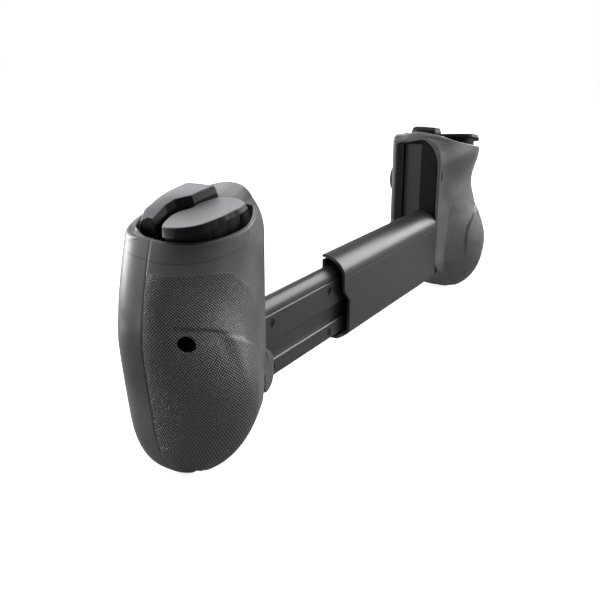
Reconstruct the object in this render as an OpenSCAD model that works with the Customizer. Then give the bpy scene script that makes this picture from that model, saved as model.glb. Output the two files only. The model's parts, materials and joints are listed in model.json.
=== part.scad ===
// Telescopic handheld game controller: two shaped grips joined by a sliding bridge.
// X runs along the length with the player's right hand at +X, the controls face -Y,
// the grip backs face +Y and the triggers are at the top (+Z). The origin is the middle
// of the device bay, on the plane that the back of a held device rests on.
// Each grip is drawn once in a local frame: x is counted outwards from its inner wall.

/* [Bay and bridge] */
// Width between the two inner walls in the resting pose
bay_w = 176; // [160:1:184]
// Length of the outer sleeve of the bridge
sleeve_len = 112; // [106:1:114]
// Length of the inner rail outside the right wall
rail_len = 106; // [100:1:108]
// Depth of the sleeve behind the bay
sleeve_back = 11.5; // [10.8:0.1:13]
// Height of the sleeve's front top edge
sleeve_top = -3.7; // [-4.6:0.1:-2]
// Height of the crease between the curved top and the flat back of the sleeve
crease_z = -13.2; // [-14.5:0.1:-12]
// Height of the sleeve's lower side
sleeve_bottom = -43; // [-45:0.1:-42]
// Radius of the sleeve's lower back edge
sleeve_round = 4; // [2.4:0.1:5]
// Wall of the sleeve
sleeve_wall = 1.8; // [1.2:0.1:2.2]
// Height of the rail's front top edge
rail_top = -8.9; // [-9.6:0.1:-8]
// Height of the crease between the curved top and the flat back of the rail
rail_crease = -14.3; // [-15:0.1:-13.6]
// Depth of the guide groove along the rail
guide_depth = 1.5; // [0.8:0.1:2]
// Height of the guide groove along the rail
guide_h = 7.5; // [5:0.1:9]

/* [Grip form] */
// Width of a grip from its inner wall to the widest point
grip_w = 56.7; // [54:0.1:60]
// Height of the widest point of the flank
flank_z = -8; // [-14:0.5:-4]
// How far the flank draws in at the rim
top_draw = 7.3; // [5:0.1:8]
// How far the flank draws in at the lower end
base_draw = 6.3; // [3:0.1:9]
// Front face of the grip in front of the bay
front_y = -17.5; // [-19:0.1:-17]
// Back edge of the inner wall behind the bay
edge_y = 10.6; // [10:0.1:12]
// Depth of the palm swell
palm_y = 28.7; // [26:0.1:32]
// Height of the palm swell
palm_z = -27; // [-30:0.5:-24]
// Depth of the finger waist
waist_y = 17.8; // [17:0.1:20]
// Height of the finger waist
waist_z = 8; // [4:0.5:10]
// Depth of the rim under the trigger
rim_y = 22.6; // [22:0.1:24]
// Height at which the back reaches the depth of the rim
rim_z = 28; // [26:0.5:30]
// Height of the rim at the inner wall
rim_top = 37.3; // [36:0.1:39]
// Depth of the back at the lower end
heel_y = 14.5; // [11:0.1:18]
// Height of the lowest point of the grip
base_z = -59; // [-62:0.5:-58]
// Distance of the ridge of the back from the inner wall
ridge_x = 27; // [26:0.5:28.5]
// Thickness of the shells
shell_wall = 2; // [1.6:0.1:2.2]
// Thickness of the front wall of the front shell
front_wall = 3.4; // [3:0.1:3.6]

/* [Controls] */
// Radius of a thumbstick cap
stick_r = 8.5; // [7.5:0.1:8.8]
// Radius of a face button
face_button_r = 4.5; // [4:0.1:4.8]
// Distance of each face button from the middle of the four
face_button_pitch = 9.2; // [8.8:0.1:9.8]
// Radius of a small button
small_button_r = 2.4; // [2:0.1:2.8]
// Half length of the direction cross
cross_half = 9.6; // [8.5:0.1:10]
// Width of an arm of the direction cross
cross_arm = 7; // [6:0.1:8]
// Distance of the upper control from the inner wall
upper_x = 27; // [26:0.5:29]
// Height of the upper control
upper_z = 8; // [7:0.5:8.5]
// Distance of the lower control from the inner wall
lower_x = 22; // [21:0.5:23]
// Height of the lower control
lower_z = -20; // [-21:0.5:-19]

/* [Fits] */
// Gap of a button in its hole
button_gap = 0.4; // [0.3:0.05:0.6]
// Gap between fixed pieces that slip together
slip = 0.15; // [0.1:0.05:0.25]
// Radial gap of a pin in its bore
pin_gap = 0.05; // [0.03:0.01:0.08]
// Gap between the sliding rail and the sleeve
slide_gap = 0.4; // [0.3:0.05:0.6]

/* [Hidden] */
$fn = 48;

smoke = [0.34, 0.34, 0.35];
black = [0.07, 0.07, 0.08];
cap_grey = [0.3, 0.3, 0.31];
steel = [0.7, 0.7, 0.72];
board_green = [0.05, 0.22, 0.14];
silicone = [0.14, 0.14, 0.15];
copper = [0.72, 0.5, 0.25];

// Overshoot of cutting tools past the faces that they cut
over = 1;
// Size of a block that cuts away half of space
far = 200;

// Places counted from the walls of a grip: flank at the rim, front face, back of the rim, rim height
function from_side(d) = grip_w - top_draw - d;
function from_front(d) = front_y + d;
function from_back(d) = rim_y - d;
function from_top(d) = rim_top - d;

// Grip loft: sections closed towards a point of the lower end
end_x = 40;
close_z = -34;
close_power = 2.8;
inner_close_power = 1.11;
front_round = 24;
front_power = 3.4;
back_power = 2.2;
slope_power = 1.5;
flank_top_power = 1.6;
flank_base_power = 1.2;
crown_z = from_top(-0.7);
last_ring = 0.985;
// A sloping wall needs more than the wall thickness in height
lift = 1.2;

// Rounded back top corner of the inner wall, and the least depth that it keeps
shoulder_z = 20;
shoulder_r = 16.5;
shoulder_drop = 14;
shoulder_least = 0.6;

// Plane of the rim: its falls outwards and backwards
rim_fall_x = 0.196;
rim_fall_y = 0.094;
rim_tilt_y = atan(rim_fall_x);
rim_tilt_x = -atan(rim_fall_y * cos(rim_tilt_y));

// Pocket for the bumper and the trigger, over the bracket
pocket_depth = 17.3;
pocket_floor = from_top(pocket_depth);
cavity_top = pocket_floor + 4;

// Inner wall of the bay, with a groove for the end of a held device
wall_t = 8;
wall_high = from_top(3.8);
wall_inset = shell_wall + 0.2;
groove_front = -10.2;
groove_back = 0.2;
groove_depth = 2.2;
pad_t = 1;
pad_margin = 0.4;
pad_low = -34;
pad_high = wall_high - 1.5;

// Front plate in its recess, held by magnets
plate_sink = 1.2;
plate_t = 1.5;
plate_x = 22.5;
plate_z = -3;
plate_half_x = 18.5;
plate_half_z = 30.5;
plate_power = 4;
plate_front = front_y + plate_sink - plate_t;
wall_front = front_y + plate_sink + 1.6;
magnet_r = 2.5;
magnet_t = 1.4;
magnet_in = [7, 4.8];
magnet_end = [6, 6.9];
magnet_spots = [
    [plate_x + plate_half_x - magnet_in[0], plate_z + plate_half_z - magnet_end[0]],
    [plate_x + plate_half_x - magnet_in[1], plate_z - plate_half_z + magnet_end[1]]
];
inner_front = front_y + front_wall;

// Screw that joins the two shells, in its well on the flank
well_x = grip_w - 7.4;
well_z = -5;
well_r = 2.6;
well_wall = 1.4;
well_floor = 2;
screw_r = 1.25;
screw_head_r = 2.3;
screw_head_h = 1.6;
screw_depth = 9;

// Main board on three bosses of the front shell
board_front = 0;
board_t = 1.6;
board_low = -35;
board_high = pocket_floor - 0.6;
board_in = wall_t + 2;
board_out = well_x - well_r - well_wall - 1.3;
boss_r = 2.6;
boss_bore_r = 0.9;
boss_spots = [
    [board_out - 2, board_high - boss_r],
    [board_out - boss_r, board_low + boss_r + 0.4],
    [board_in + boss_r, board_low + boss_r + 0.4]
];
boss_screw_depth = 6;
boss_screw_head_r = 1.8;
boss_screw_head_h = 1;

// Thumbstick: base on the board, yoke, rocker and cap round one pivot
pivot_y = -4.5;
base_half = 8;
base_front = -6.5;
base_wall = 1.7;
base_floor = 1.2;
trunnion_r = 0.9;
yoke_half_x = 5.8;
yoke_half_z = 5;
yoke_bar = 1.4;
yoke_t = 2.4;
rocker_half_x = 3;
rocker_half_z = 2.5;
rocker_t = 2.2;
rocker_pin_r = 0.7;
shaft_r = 1.6;
shaft_end = -3.2;
stalk_r = 2.8;
dome_r = pivot_y - inner_front - 0.2;
dome_t = 1;
dome_angle = 50;
stick_hole_r = 8.2;
cap_under = plate_front - 4.8;
cap_top = cap_under - 4.4;
cap_dish = 1.2;
cap_lip = 1.2;

// Buttons: top, flange behind the front wall, stem towards the board
flange_gap = 0.2;
flange_t = 0.9;
flange_out = 0.9;
flange_front = inner_front + flange_gap;
face_button_top = plate_front - 2.6;
face_stem_r = 1.6;
face_stem_end = -2.7;
small_button_top = plate_front - 1.6;
small_stem_r = 1;
small_stem_end = -0.8;
pad_front = -1.2;
pad_half = 11.2;
pad_out = boss_spots[0].x - boss_r - 1.2;
face_spots = [for (a = [90, 0, -90, 180]) [upper_x, upper_z] + face_button_pitch * [cos(a), sin(a)]];
small_spots = [[wall_t + 4.2, 17], [wall_t + 4.2, -3]];

// Direction cross on a rocker that tips on a frame
well_hole_r = cross_half + 2.4;
cross_top = plate_front - 2.8;
cross_disc_r = cross_half - 0.2;
cross_disc_front = plate_front + 0.4;
cross_disc_t = 1.4;
cross_stem_r = 1.6;
cross_pivot_y = -10;
frame_post_in = 6.4;
frame_post_t = 2;
frame_half_z = 3;
frame_foot_t = 1.6;
rocker_ring_gap = 0.5;
rocker_ring_bar = 1.7;

// Hinges of the trigger and the bumper on their bracket
hinge_pin_r = 1;
trigger_pin_y = 4.6;
trigger_pin_z = from_top(9.8);
bumper_pin_x = wall_t + 9;
bumper_pin_z = from_top(6.8);
bracket_t = 2;
bracket_front = from_front(6.5);
bracket_shoulder = from_front(8.5);
bracket_back = 10;
lug_t = 2;
lug_in = wall_t + 8.2;
lug_out = from_side(6);
bumper_lug_t = 1.5;
bumper_lug_y = [bracket_front, -2.4];
lug_room = 0.45;
switch_x = from_side(10.4);
switch_y = from_front(9);
switch_half = 2.2;
switch_h = 3.2;
spring_in = ridge_x + 0.2;
spring_out = spring_in + 7.6;
spring_coil_r = hinge_pin_r + 1.2;

// Trigger: tilted top plate over a body in the pocket
trigger_top = from_top(-1.6);
trigger_tilt = atan(0.143);
trigger_plate_t = 1.8;
trigger_body_low = from_top(13.8);

// Bumper: underside that falls outwards, and a lower skirt between the pin lugs
bumper_low = from_top(4.1);
bumper_fall = 0.16;
bumper_skirt_low = from_top(10.7);

// Plug for the held device: flat body with round ends, at mid thickness of the groove
plug_y = (groove_front + groove_back) / 2;
plug_t = 2.5;
plug_w = 8.3;
plug_out = 5.3;
plug_base_w = 11.6;
plug_base_t = 5;
plug_base = 2.4;

// Ports at the lower ends of the grips
port_y = 8.4;
port_low = base_z + 6;
port_high = base_z + 16;
heel_floor = port_low + 1.7;
port_w = 9;
port_t = 3.3;
port_skin = 0.4;
port_tongue_w = 6.6;
port_tongue_t = 0.7;
jack_r = 3;
jack_bore_r = 1.75;
port_gap = 0.2;

// Rail inside the sleeve
plate_back = 1.4;
frame_front = plate_back + slide_gap;
cover_front = 4.4;
rail_back = edge_y - 3.1;
rail_bottom = sleeve_bottom + sleeve_wall + slide_gap;
rail_root = wall_t;
wall_low = rail_bottom - 1.3;
guide_drop = 15.5;
guide_mid = rail_crease - guide_drop;
rail_screw_r = 1.6;
rail_screw_head = 0.8;
rail_screw_sink = 1;
rail_screw_tip = frame_front + 0.8;
rail_screw_z = [rail_crease - 3.7, rail_bottom + 3.6];
rail_screw_x = [10, 57];
notch_depth = 3;
notch_low = sleeve_bottom + sleeve_round;
notch_high = guide_mid + 2.8;

// Flat cable through the bridge
ribbon_y = 3.2;
ribbon_t = 0.4;
ribbon_high = rail_crease - 7.7;
ribbon_low = ribbon_high - 9;
ribbon_reach = wall_t + 1;

// Return spring: a reel of tape near the left wall, fixed to the free end of the rail
reel_x = 5;
reel_r = 2.2;
reel_y = plate_back + 0.8 + reel_r;
reel_post_r = 1;
tape_t = 0.3;
tape_y = reel_y - reel_r;
tape_high = rail_crease - 0.8;
tape_low = tape_high - 3.8;

module on_right() translate([bay_w / 2, 0, 0]) children();
module on_left() mirror([1, 0, 0]) translate([bay_w / 2, 0, 0]) children();

// Extrudes a side profile, given as back and up, along +X
module along_x(length) rotate([90, 0, 90]) linear_extrude(height = length) children();
// Extrudes a front outline, given as outwards and up, from y0 towards the back
module along_y(y0, length)
    translate([0, y0 + length, 0]) rotate([90, 0, 0]) linear_extrude(height = length) children();
// Cylinder along Y that starts at y0
module rod_y(x, z, r, y0, length)
    translate([x, y0, z]) rotate([-90, 0, 0]) cylinder(r = r, h = length);
// Cylinder along X that starts at x0
module rod_x(x0, y, z, r, length)
    translate([x0, y, z]) rotate([0, 90, 0]) cylinder(r = r, h = length);
// Block between two corners
module block(a, b) translate(a) cube(b - a);

// Smooth step from a to b as t goes from 0 to 1
function ease(a, b, t) = a + (b - a) * (1 - cos(180 * t)) / 2;
// Depth of the back ridge at a height
function ridge_y(z) =
    z > rim_z ? rim_y
    : z > waist_z ? ease(waist_y, rim_y, (z - waist_z) / (rim_z - waist_z))
    : z > palm_z ? ease(palm_y, waist_y, (z - palm_z) / (waist_z - palm_z))
    : palm_y - (palm_y - heel_y) * (1 - cos(90 * (palm_z - z) / (palm_z - base_z)));
// Width of the grip at a height
function flank_x(z) =
    z > flank_z
    ? grip_w - top_draw * pow((z - flank_z) / (rim_z - flank_z), flank_top_power)
    : grip_w - base_draw * pow((flank_z - z) / (flank_z - base_z), flank_base_power);
// Back edge of the inner wall at a height
function shoulder(z) =
    shoulder_drop * (1 - sqrt(max(0, 1 - pow(max(0, z - shoulder_z) / shoulder_r, 2))));
function wall_edge(z) = max(shoulder_least, edge_y - shoulder(z));
// Share of the full section that is left near the lower end
function closing(z, power) =
    z >= close_z ? 1
    : pow(max(0, 1 - pow(min(1, (close_z - z) / (close_z - base_z)), power)), 1 / power);
// Draws a point of a section in towards the lower end
function drawn_in(p, z) = [
    p.x < end_x ? end_x - (end_x - p.x) * closing(z, inner_close_power)
                : end_x + (p.x - end_x) * closing(z, close_power),
    p.y * closing(z, close_power)
];
// Superellipse quarter: t from 0 at the side to 1 at the far end
function oval(a, b, power, t) =
    [a * pow(cos(90 * t), 2 / power), b * pow(sin(90 * t), 2 / power)];
// Section of the back half, inset by w, with its seam side at y = seam
function back_section(z, w, seam, n) = let (
    x = flank_x(z) - w,
    y = ridge_y(z) - w,
    e = wall_edge(z) - w
) concat(
    [[w, seam]],
    [for (i = [0 : n]) [w + (ridge_x - w) * i / n, e + (y - e) * (1 - pow(1 - i / n, slope_power))]],
    [for (i = [n - 1 : -1 : 0]) [ridge_x, 0] + oval(x - ridge_x, y, back_power, i / n)],
    seam < 0 ? [[x, seam]] : []
);
// Section of the front half, inset by w behind the face at y = face
function front_section(z, w, face, seam, n) = let (x = flank_x(z) - w) concat(
    seam > 0 ? [[x, seam]] : [],
    [for (i = [0 : n]) [x - front_round, 0] + oval(front_round, face, front_power, i / n)],
    [[w, face], [w, seam]]
);
// Heights of the rings: close together where the lower end rounds off
function ring_heights(top, w, lows, highs) = concat(
    [for (i = [lows : -1 : 1]) close_z - (close_z - base_z - lift * w) * sin(90 * i / lows) * last_ring],
    [for (i = [0 : highs]) close_z + (top - close_z) * i / highs]
);
// Closed solid through a stack of rings with the same number of points
module loft(rings) {
    n = len(rings[0]);
    m = len(rings);
    sides = [for (k = [0 : m - 2]) for (i = [0 : n - 1]) let (a = k * n + i, b = k * n + (i + 1) % n)
        each [[a, b, a + n], [b, b + n, a + n]]];
    caps = [[for (i = [n - 1 : -1 : 0]) i], [for (i = [0 : n - 1]) (m - 1) * n + i]];
    polyhedron(points = [for (r = rings) each r], faces = concat(sides, caps));
}
module back_half(w, top, seam, n, lows, highs)
    loft([for (z = ring_heights(top, w, lows, highs))
        [for (p = back_section(z, w, seam, n)) let (q = drawn_in(p, z - lift * w)) [q.x, q.y, z]]]);
module front_half(w, face, top, seam, n, lows, highs)
    loft([for (z = ring_heights(top, w, lows, highs))
        [for (p = front_section(z, w, face, seam, n)) let (q = drawn_in(p, z - lift * w)) [q.x, q.y, z]]]);

// Everything above the tilted rim plane
module above_rim()
    translate([0, 0, rim_top]) rotate([rim_tilt_x, rim_tilt_y, 0])
        translate([-far / 2, -far / 2, 0]) cube([far, far, far / 2]);
// Pocket that the bumper and the trigger work in, from above
pocket_outline = [
    [wall_t + 4.5, from_front(3.5)], [from_side(11.4), from_front(3.5)],
    [from_side(5.9), from_front(6.5)], [from_side(3.4), from_front(11.5)],
    [from_side(2.8), 2], [from_side(4), 9], [from_side(8.8), from_back(7.4)],
    [from_side(15.4), from_back(4)], [ridge_x, from_back(3.4)], [ridge_x - 4.6, from_back(5.2)],
    [wall_t + 9.8, 13], [wall_t + 6, 6.8], [wall_t + 4.5, 2]
];
module pocket()
    translate([0, 0, pocket_floor]) linear_extrude(height = far) polygon(pocket_outline);

// Outline of the inner wall, back and up, grown by a gap
function wall_outline(gap) = let (steps = 8, inset = wall_inset - gap) concat(
    [[wall_front - gap, wall_low - gap], [edge_y - inset, wall_low - gap]],
    [for (i = [0 : steps]) let (z = shoulder_z + (wall_high - shoulder_z) * i / steps)
        [edge_y - shoulder(z + inset) - inset, z + gap]],
    [[wall_front - gap, wall_high + gap]]
);
// Opening of the shells that the inner wall fills
module wall_opening()
    translate([-over, 0, 0]) along_x(wall_t + slip + over) polygon(wall_outline(slip));
// Groove for the end of a held device
module device_groove()
    block([-over, groove_front, -far / 2], [groove_depth, groove_back, far / 2]);
module cradle_wall(side)
    difference() {
        along_x(wall_t) polygon(wall_outline(0));
        device_groove();
        if (side == "right") {
            translate([-over, 0, 0]) along_x(wall_t + 2 * over) polygon(rail_outline(slip));
            plug_body(-over, wall_t + 2 * over, slip);
        } else
            ribbon_slot(-over, wall_t + over);
    }
module end_pad(side)
    difference() {
        block([groove_depth - pad_t, groove_front + pad_margin, pad_low],
              [groove_depth, groove_back - pad_margin, pad_high]);
        if (side == "right")
            plug_body(-over, wall_t, 2 * slip);
    }
module plug_body(x0, length, grow) {
    r = plug_t / 2 + grow;
    h = plug_w / 2 - plug_t / 2;
    block([x0, plug_y - r, -h], [x0 + length, plug_y + r, h]);
    for (s = [-1, 1])
        rod_x(x0, plug_y, s * h, r, length);
}
module plug() {
    plug_body(-plug_out, wall_t + plug_out + plug_base, 0);
    block([wall_t, plug_y - plug_base_t / 2, -plug_base_w / 2],
          [wall_t + plug_base, plug_y + plug_base_t / 2, plug_base_w / 2]);
}

module port_slot()
    block([end_x - port_w / 2 - port_gap, port_y - port_t / 2 - port_gap, base_z - over],
          [end_x + port_w / 2 + port_gap, port_y + port_t / 2 + port_gap, port_high]);
module jack_hole()
    translate([end_x, port_y, base_z - over]) cylinder(r = jack_r + port_gap, h = port_high - base_z + over);
module back_shell(side)
    difference() {
        back_half(0, crown_z, 0, 9, 7, 16);
        difference() {
            back_half(shell_wall, cavity_top, -over, 6, 5, 9);
            rod_y(well_x, well_z, well_r + well_wall, -2 * over, far);
            // solid heel round the port
            block([-far, -far, -far], [far, far, heel_floor]);
        }
        above_rim();
        pocket();
        wall_opening();
        device_groove();
        rod_y(well_x, well_z, well_r, well_floor, far);
        rod_y(well_x, well_z, screw_r + slip, -over, well_floor + 2 * over);
        if (side == "left")
            jack_hole();
        else
            port_slot();
    }
// Outline of the front plate as a rounded box, outwards and up
function plate_outline(grow) = [for (i = [0 : 63]) let (a = 360 * i / 64) [
    plate_x + (plate_half_x + grow) * sign(cos(a)) * pow(abs(cos(a)), 2 / plate_power),
    plate_z + (plate_half_z + grow) * sign(sin(a)) * pow(abs(sin(a)), 2 / plate_power)]];
// Holes for the controls of one side
module control_holes(side, y0, length) {
    if (side == "left") {
        rod_y(upper_x, upper_z, stick_hole_r, y0, length);
        rod_y(lower_x, lower_z, well_hole_r, y0, length);
    } else {
        for (p = face_spots)
            rod_y(p.x, p.y, face_button_r + button_gap, y0, length);
        rod_y(lower_x, lower_z, stick_hole_r, y0, length);
    }
    for (p = small_spots)
        rod_y(p.x, p.y, small_button_r + button_gap, y0, length);
}
// Flat seats behind the front wall for the button flanges
module flange_seats(side)
    if (side == "right")
        for (p = face_spots)
            rod_y(p.x, p.y, face_button_r + flange_out + button_gap, inner_front, flange_t + 2 * over);
module front_shell(side)
    difference() {
        front_half(0, front_y, crown_z, 0, 9, 7, 14);
        difference() {
            front_half(shell_wall, inner_front, cavity_top, over, 6, 5, 8);
            rod_y(well_x, well_z, well_r + well_wall, front_y, far);
            for (p = boss_spots)
                rod_y(p.x, p.y, boss_r, front_y, far);
        }
        above_rim();
        pocket();
        wall_opening();
        device_groove();
        along_y(front_y - over, over + plate_sink) polygon(plate_outline(slip));
        control_holes(side, front_y - over, front_wall + 2 * over);
        flange_seats(side);
        for (p = magnet_spots)
            rod_y(p.x, p.y, magnet_r + slip, front_y, plate_sink + magnet_t);
        rod_y(well_x, well_z, screw_r + pin_gap, well_floor - screw_depth - over, far);
        for (p = boss_spots)
            rod_y(p.x, p.y, boss_bore_r, board_front - boss_screw_depth - over, far);
    }
module faceplate(side)
    difference() {
        along_y(plate_front, plate_t) polygon(plate_outline(0));
        control_holes(side, plate_front - over, plate_t + 2 * over);
    }
module magnets()
    for (p = magnet_spots)
        rod_y(p.x, p.y, magnet_r, front_y + plate_sink, magnet_t);

// Bracket that carries the hinge pins, fixed to the inner wall
module bracket()
    difference() {
        union() {
            block([wall_t, bracket_front, pocket_floor],
                  [switch_x + switch_half, bracket_back, pocket_floor + bracket_t]);
            block([wall_t, bracket_shoulder, pocket_floor],
                  [lug_out + lug_t, bracket_back, pocket_floor + bracket_t]);
            for (x = [lug_in - lug_t, lug_out])
                block([x, trigger_pin_y - lug_t, pocket_floor],
                      [x + lug_t, trigger_pin_y + lug_t, trigger_pin_z + lug_t]);
            for (y = bumper_lug_y)
                block([bumper_pin_x - lug_t, y, pocket_floor],
                      [bumper_pin_x + lug_t, y + bumper_lug_t, bumper_pin_z + lug_t]);
        }
        rod_x(lug_in - lug_t - over, trigger_pin_y, trigger_pin_z, hinge_pin_r + pin_gap, far);
        rod_y(bumper_pin_x, bumper_pin_z, hinge_pin_r + pin_gap, bracket_front - over, far);
    }
module hinge_pins() {
    rod_x(lug_in - lug_t, trigger_pin_y, trigger_pin_z, hinge_pin_r, lug_out - lug_in + 2 * lug_t);
    rod_y(bumper_pin_x, bumper_pin_z, hinge_pin_r,
          bumper_lug_y[0], bumper_lug_y[1] - bumper_lug_y[0] + bumper_lug_t);
}
// Coil round the trigger pin
module trigger_spring()
    difference() {
        rod_x(spring_in, trigger_pin_y, trigger_pin_z, spring_coil_r, spring_out - spring_in);
        rod_x(spring_in - over, trigger_pin_y, trigger_pin_z, hinge_pin_r + slip, far);
    }
// Small push switch under the outer end of the bumper
module bumper_switch()
    translate([0, 0, pocket_floor + bracket_t])
        block([switch_x - switch_half, switch_y - switch_half, 0],
              [switch_x + switch_half, switch_y + switch_half, switch_h]);

// Bumper: a faceted bar, seen from above, and its shape seen from the front
bumper_plan = [
    [wall_t + 5.6, from_front(7.9)], [wall_t + 8, from_front(4.6)],
    [from_side(11.8), from_front(4.5)], [from_side(7), from_front(7.3)], [from_side(6.6), -3.6],
    [ridge_x + 5.8, -2.8], [ridge_x + 1.8, 0.2], [wall_t + 7.8, 2.2], [wall_t + 6.2, 0.6]
];
bumper_skirt_plan = [
    [wall_t + 6.6, from_front(4)], [from_side(12), from_front(5.3)], [from_side(7.8), from_front(7.7)],
    [from_side(7.4), -5.4], [ridge_x + 3.4, -5.2], [ridge_x + 1, -2], [wall_t + 6.6, -2]
];
bumper_front = [
    [wall_t + 5, from_top(15)], [from_side(5.4), from_top(15)], [from_side(5.4), from_top(6.1)],
    [from_side(7), from_top(4.7)], [ridge_x + 9, from_top(1.7)], [ridge_x + 1, from_top(-1.1)],
    [wall_t + 8.5, from_top(-2.6)], [wall_t + 6.2, from_top(-1.1)], [wall_t + 5, from_top(0.9)]
];
module bumper_underside()
    along_y(-far / 2, far)
        polygon([[0, bumper_low], [far, bumper_low - far * bumper_fall], [far, far], [0, far]]);
module bumper()
    difference() {
        intersection() {
            along_y(-far / 2, far) polygon(bumper_front);
            union() {
                intersection() {
                    linear_extrude(height = far) polygon(bumper_plan);
                    bumper_underside();
                }
                intersection() {
                    translate([0, 0, bumper_skirt_low]) linear_extrude(height = far)
                        polygon(bumper_skirt_plan);
                    block([0, bumper_lug_y[0] + bumper_lug_t + slip, 0], [far, bumper_lug_y[1] - slip, far]);
                }
            }
        }
        rod_y(bumper_pin_x, bumper_pin_z, hinge_pin_r + pin_gap, -far / 2, far);
        // room over the two pin lugs
        for (y = bumper_lug_y)
            block([0, y - lug_room, 0],
                  [bumper_pin_x + lug_t + 2 * lug_room, y + bumper_lug_t + lug_room,
                   bumper_pin_z + lug_t + lug_room]);
    }

// Trigger: a flat top plate with a lip over a narrower body on the hinge pin
trigger_plan = [
    [from_side(1.8), 4.4], [from_side(5.6), -0.4], [ridge_x + 6.6, -1.6], [ridge_x + 2.8, 1.4],
    [wall_t + 9.6, 3.2], [wall_t + 10, 10], [ridge_x - 6, from_back(5.2)], [ridge_x - 1, from_back(0.2)],
    [ridge_x + 6, rim_y], [from_side(8), from_back(4)], [from_side(3.4), 12]
];
trigger_body_plan = [
    [from_side(6.8), 1.8], [wall_t + 11.6, 2.4], [wall_t + 12.8, 11.4], [ridge_x - 2.6, from_back(6.4)],
    [ridge_x + 1, from_back(5)], [ridge_x + 6, from_back(5.4)], [from_side(10.8), from_back(8.4)],
    [from_side(6.8), 9.6]
];
module trigger_slab(low, high)
    translate([0, 0, trigger_top]) rotate([0, trigger_tilt, 0])
        translate([-far / 2, -far / 2, low]) cube([far, far, high - low]);
module trigger()
    difference() {
        union() {
            intersection() {
                linear_extrude(height = far) polygon(trigger_plan);
                trigger_slab(-trigger_plate_t, 0);
            }
            intersection() {
                translate([0, 0, trigger_body_low]) linear_extrude(height = far) polygon(trigger_body_plan);
                trigger_slab(-far / 2, -trigger_plate_t / 2);
            }
        }
        rod_x(0, trigger_pin_y, trigger_pin_z, hinge_pin_r + pin_gap, far);
        // room for the spring round the pin
        block([spring_in - 2 * slip, -far / 2, 0],
              [spring_out + 2 * slip, trigger_pin_y + spring_coil_r + over,
               trigger_pin_z + spring_coil_r + over]);
    }

module main_board()
    difference() {
        block([board_in, board_front, board_low], [board_out, board_front + board_t, board_high]);
        for (p = boss_spots)
            rod_y(p.x, p.y, boss_bore_r + slip, board_front - over, board_t + 2 * over);
    }
module screws() {
    rod_y(well_x, well_z, screw_head_r, well_floor, screw_head_h);
    rod_y(well_x, well_z, screw_r, well_floor - screw_depth, screw_depth);
    for (p = boss_spots) {
        rod_y(p.x, p.y, boss_screw_head_r, board_front + board_t, boss_screw_head_h);
        rod_y(p.x, p.y, boss_bore_r - pin_gap, board_front - boss_screw_depth, boss_screw_depth + board_t);
    }
}

// Thumbstick pieces, drawn round the pivot at the origin
module at_pivot(x, z) translate([x, pivot_y, z]) children();
module stick_base()
    difference() {
        block([-base_half, base_front - pivot_y, -base_half], [base_half, board_front - pivot_y, base_half]);
        block([base_wall - base_half, base_front - pivot_y - over, base_wall - base_half],
              [base_half - base_wall, board_front - pivot_y - base_floor, base_half - base_wall]);
        rod_x(-far / 2, 0, 0, trunnion_r + pin_gap, far);
    }
module stick_yoke()
    difference() {
        union() {
            block([-yoke_half_x, -yoke_t / 2, -yoke_half_z], [yoke_half_x, yoke_t / 2, yoke_half_z]);
            rod_x(slip - base_half, 0, 0, trunnion_r, 2 * (base_half - slip));
        }
        block([yoke_bar - yoke_half_x, -far / 2, yoke_bar - yoke_half_z],
              [yoke_half_x - yoke_bar, far / 2, yoke_half_z - yoke_bar]);
        cylinder(r = rocker_pin_r + pin_gap, h = far, center = true);
    }
module stick_rocker()
    difference() {
        union() {
            block([-rocker_half_x, -rocker_t / 2, -rocker_half_z],
                  [rocker_half_x, rocker_t / 2, rocker_half_z]);
            cylinder(r = rocker_pin_r, h = 2 * (yoke_half_z - slip), center = true);
        }
        rod_y(0, 0, shaft_r + pin_gap, -far / 2, far);
    }
// Point of a dome profile at an angle from its axis
function on_dome(r, a) = r * [sin(a), cos(a)];
// Stick turned about its axis: shaft, cover dome, stalk and dished cap
module stick_cap() {
    inner_r = dome_r - dome_t;
    inner_a = asin(shaft_r / inner_r);
    outer_a = asin(stalk_r / dome_r);
    under = pivot_y - cap_under;
    top = pivot_y - cap_top;
    end = pivot_y - shaft_end;
    steps = 6;
    rotate([90, 0, 0]) rotate_extrude()
        polygon(concat(
            [[0, end], [shaft_r, end]],
            [for (i = [0 : steps]) on_dome(inner_r, inner_a + (dome_angle - inner_a) * i / steps)],
            [for (i = [steps : -1 : 0]) on_dome(dome_r, outer_a + (dome_angle - outer_a) * i / steps)],
            [[stalk_r, under], [stick_r - 1.2, under], [stick_r, under + 1], [stick_r, top - cap_lip],
             [stick_r - 0.8, top - 0.2], [stick_r - 1.6, top], [stick_r - 2.6, top - 0.4],
             [stick_r - 4, top - cap_dish], [0, top - cap_dish]]));
}

module push_button(p, r, top, stem_r, stem_end) {
    rod_y(p.x, p.y, r, top, flange_front - top);
    rod_y(p.x, p.y, r + flange_out, flange_front, flange_t);
    rod_y(p.x, p.y, stem_r, flange_front, stem_end - flange_front);
}
module face_button(p) push_button(p, face_button_r, face_button_top, face_stem_r, face_stem_end);
module small_button(p) push_button(p, small_button_r, small_button_top, small_stem_r, small_stem_end);
module face_pad()
    block([upper_x - pad_half, pad_front, upper_z - pad_half],
          [pad_out, board_front, upper_z + pad_half]);

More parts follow.
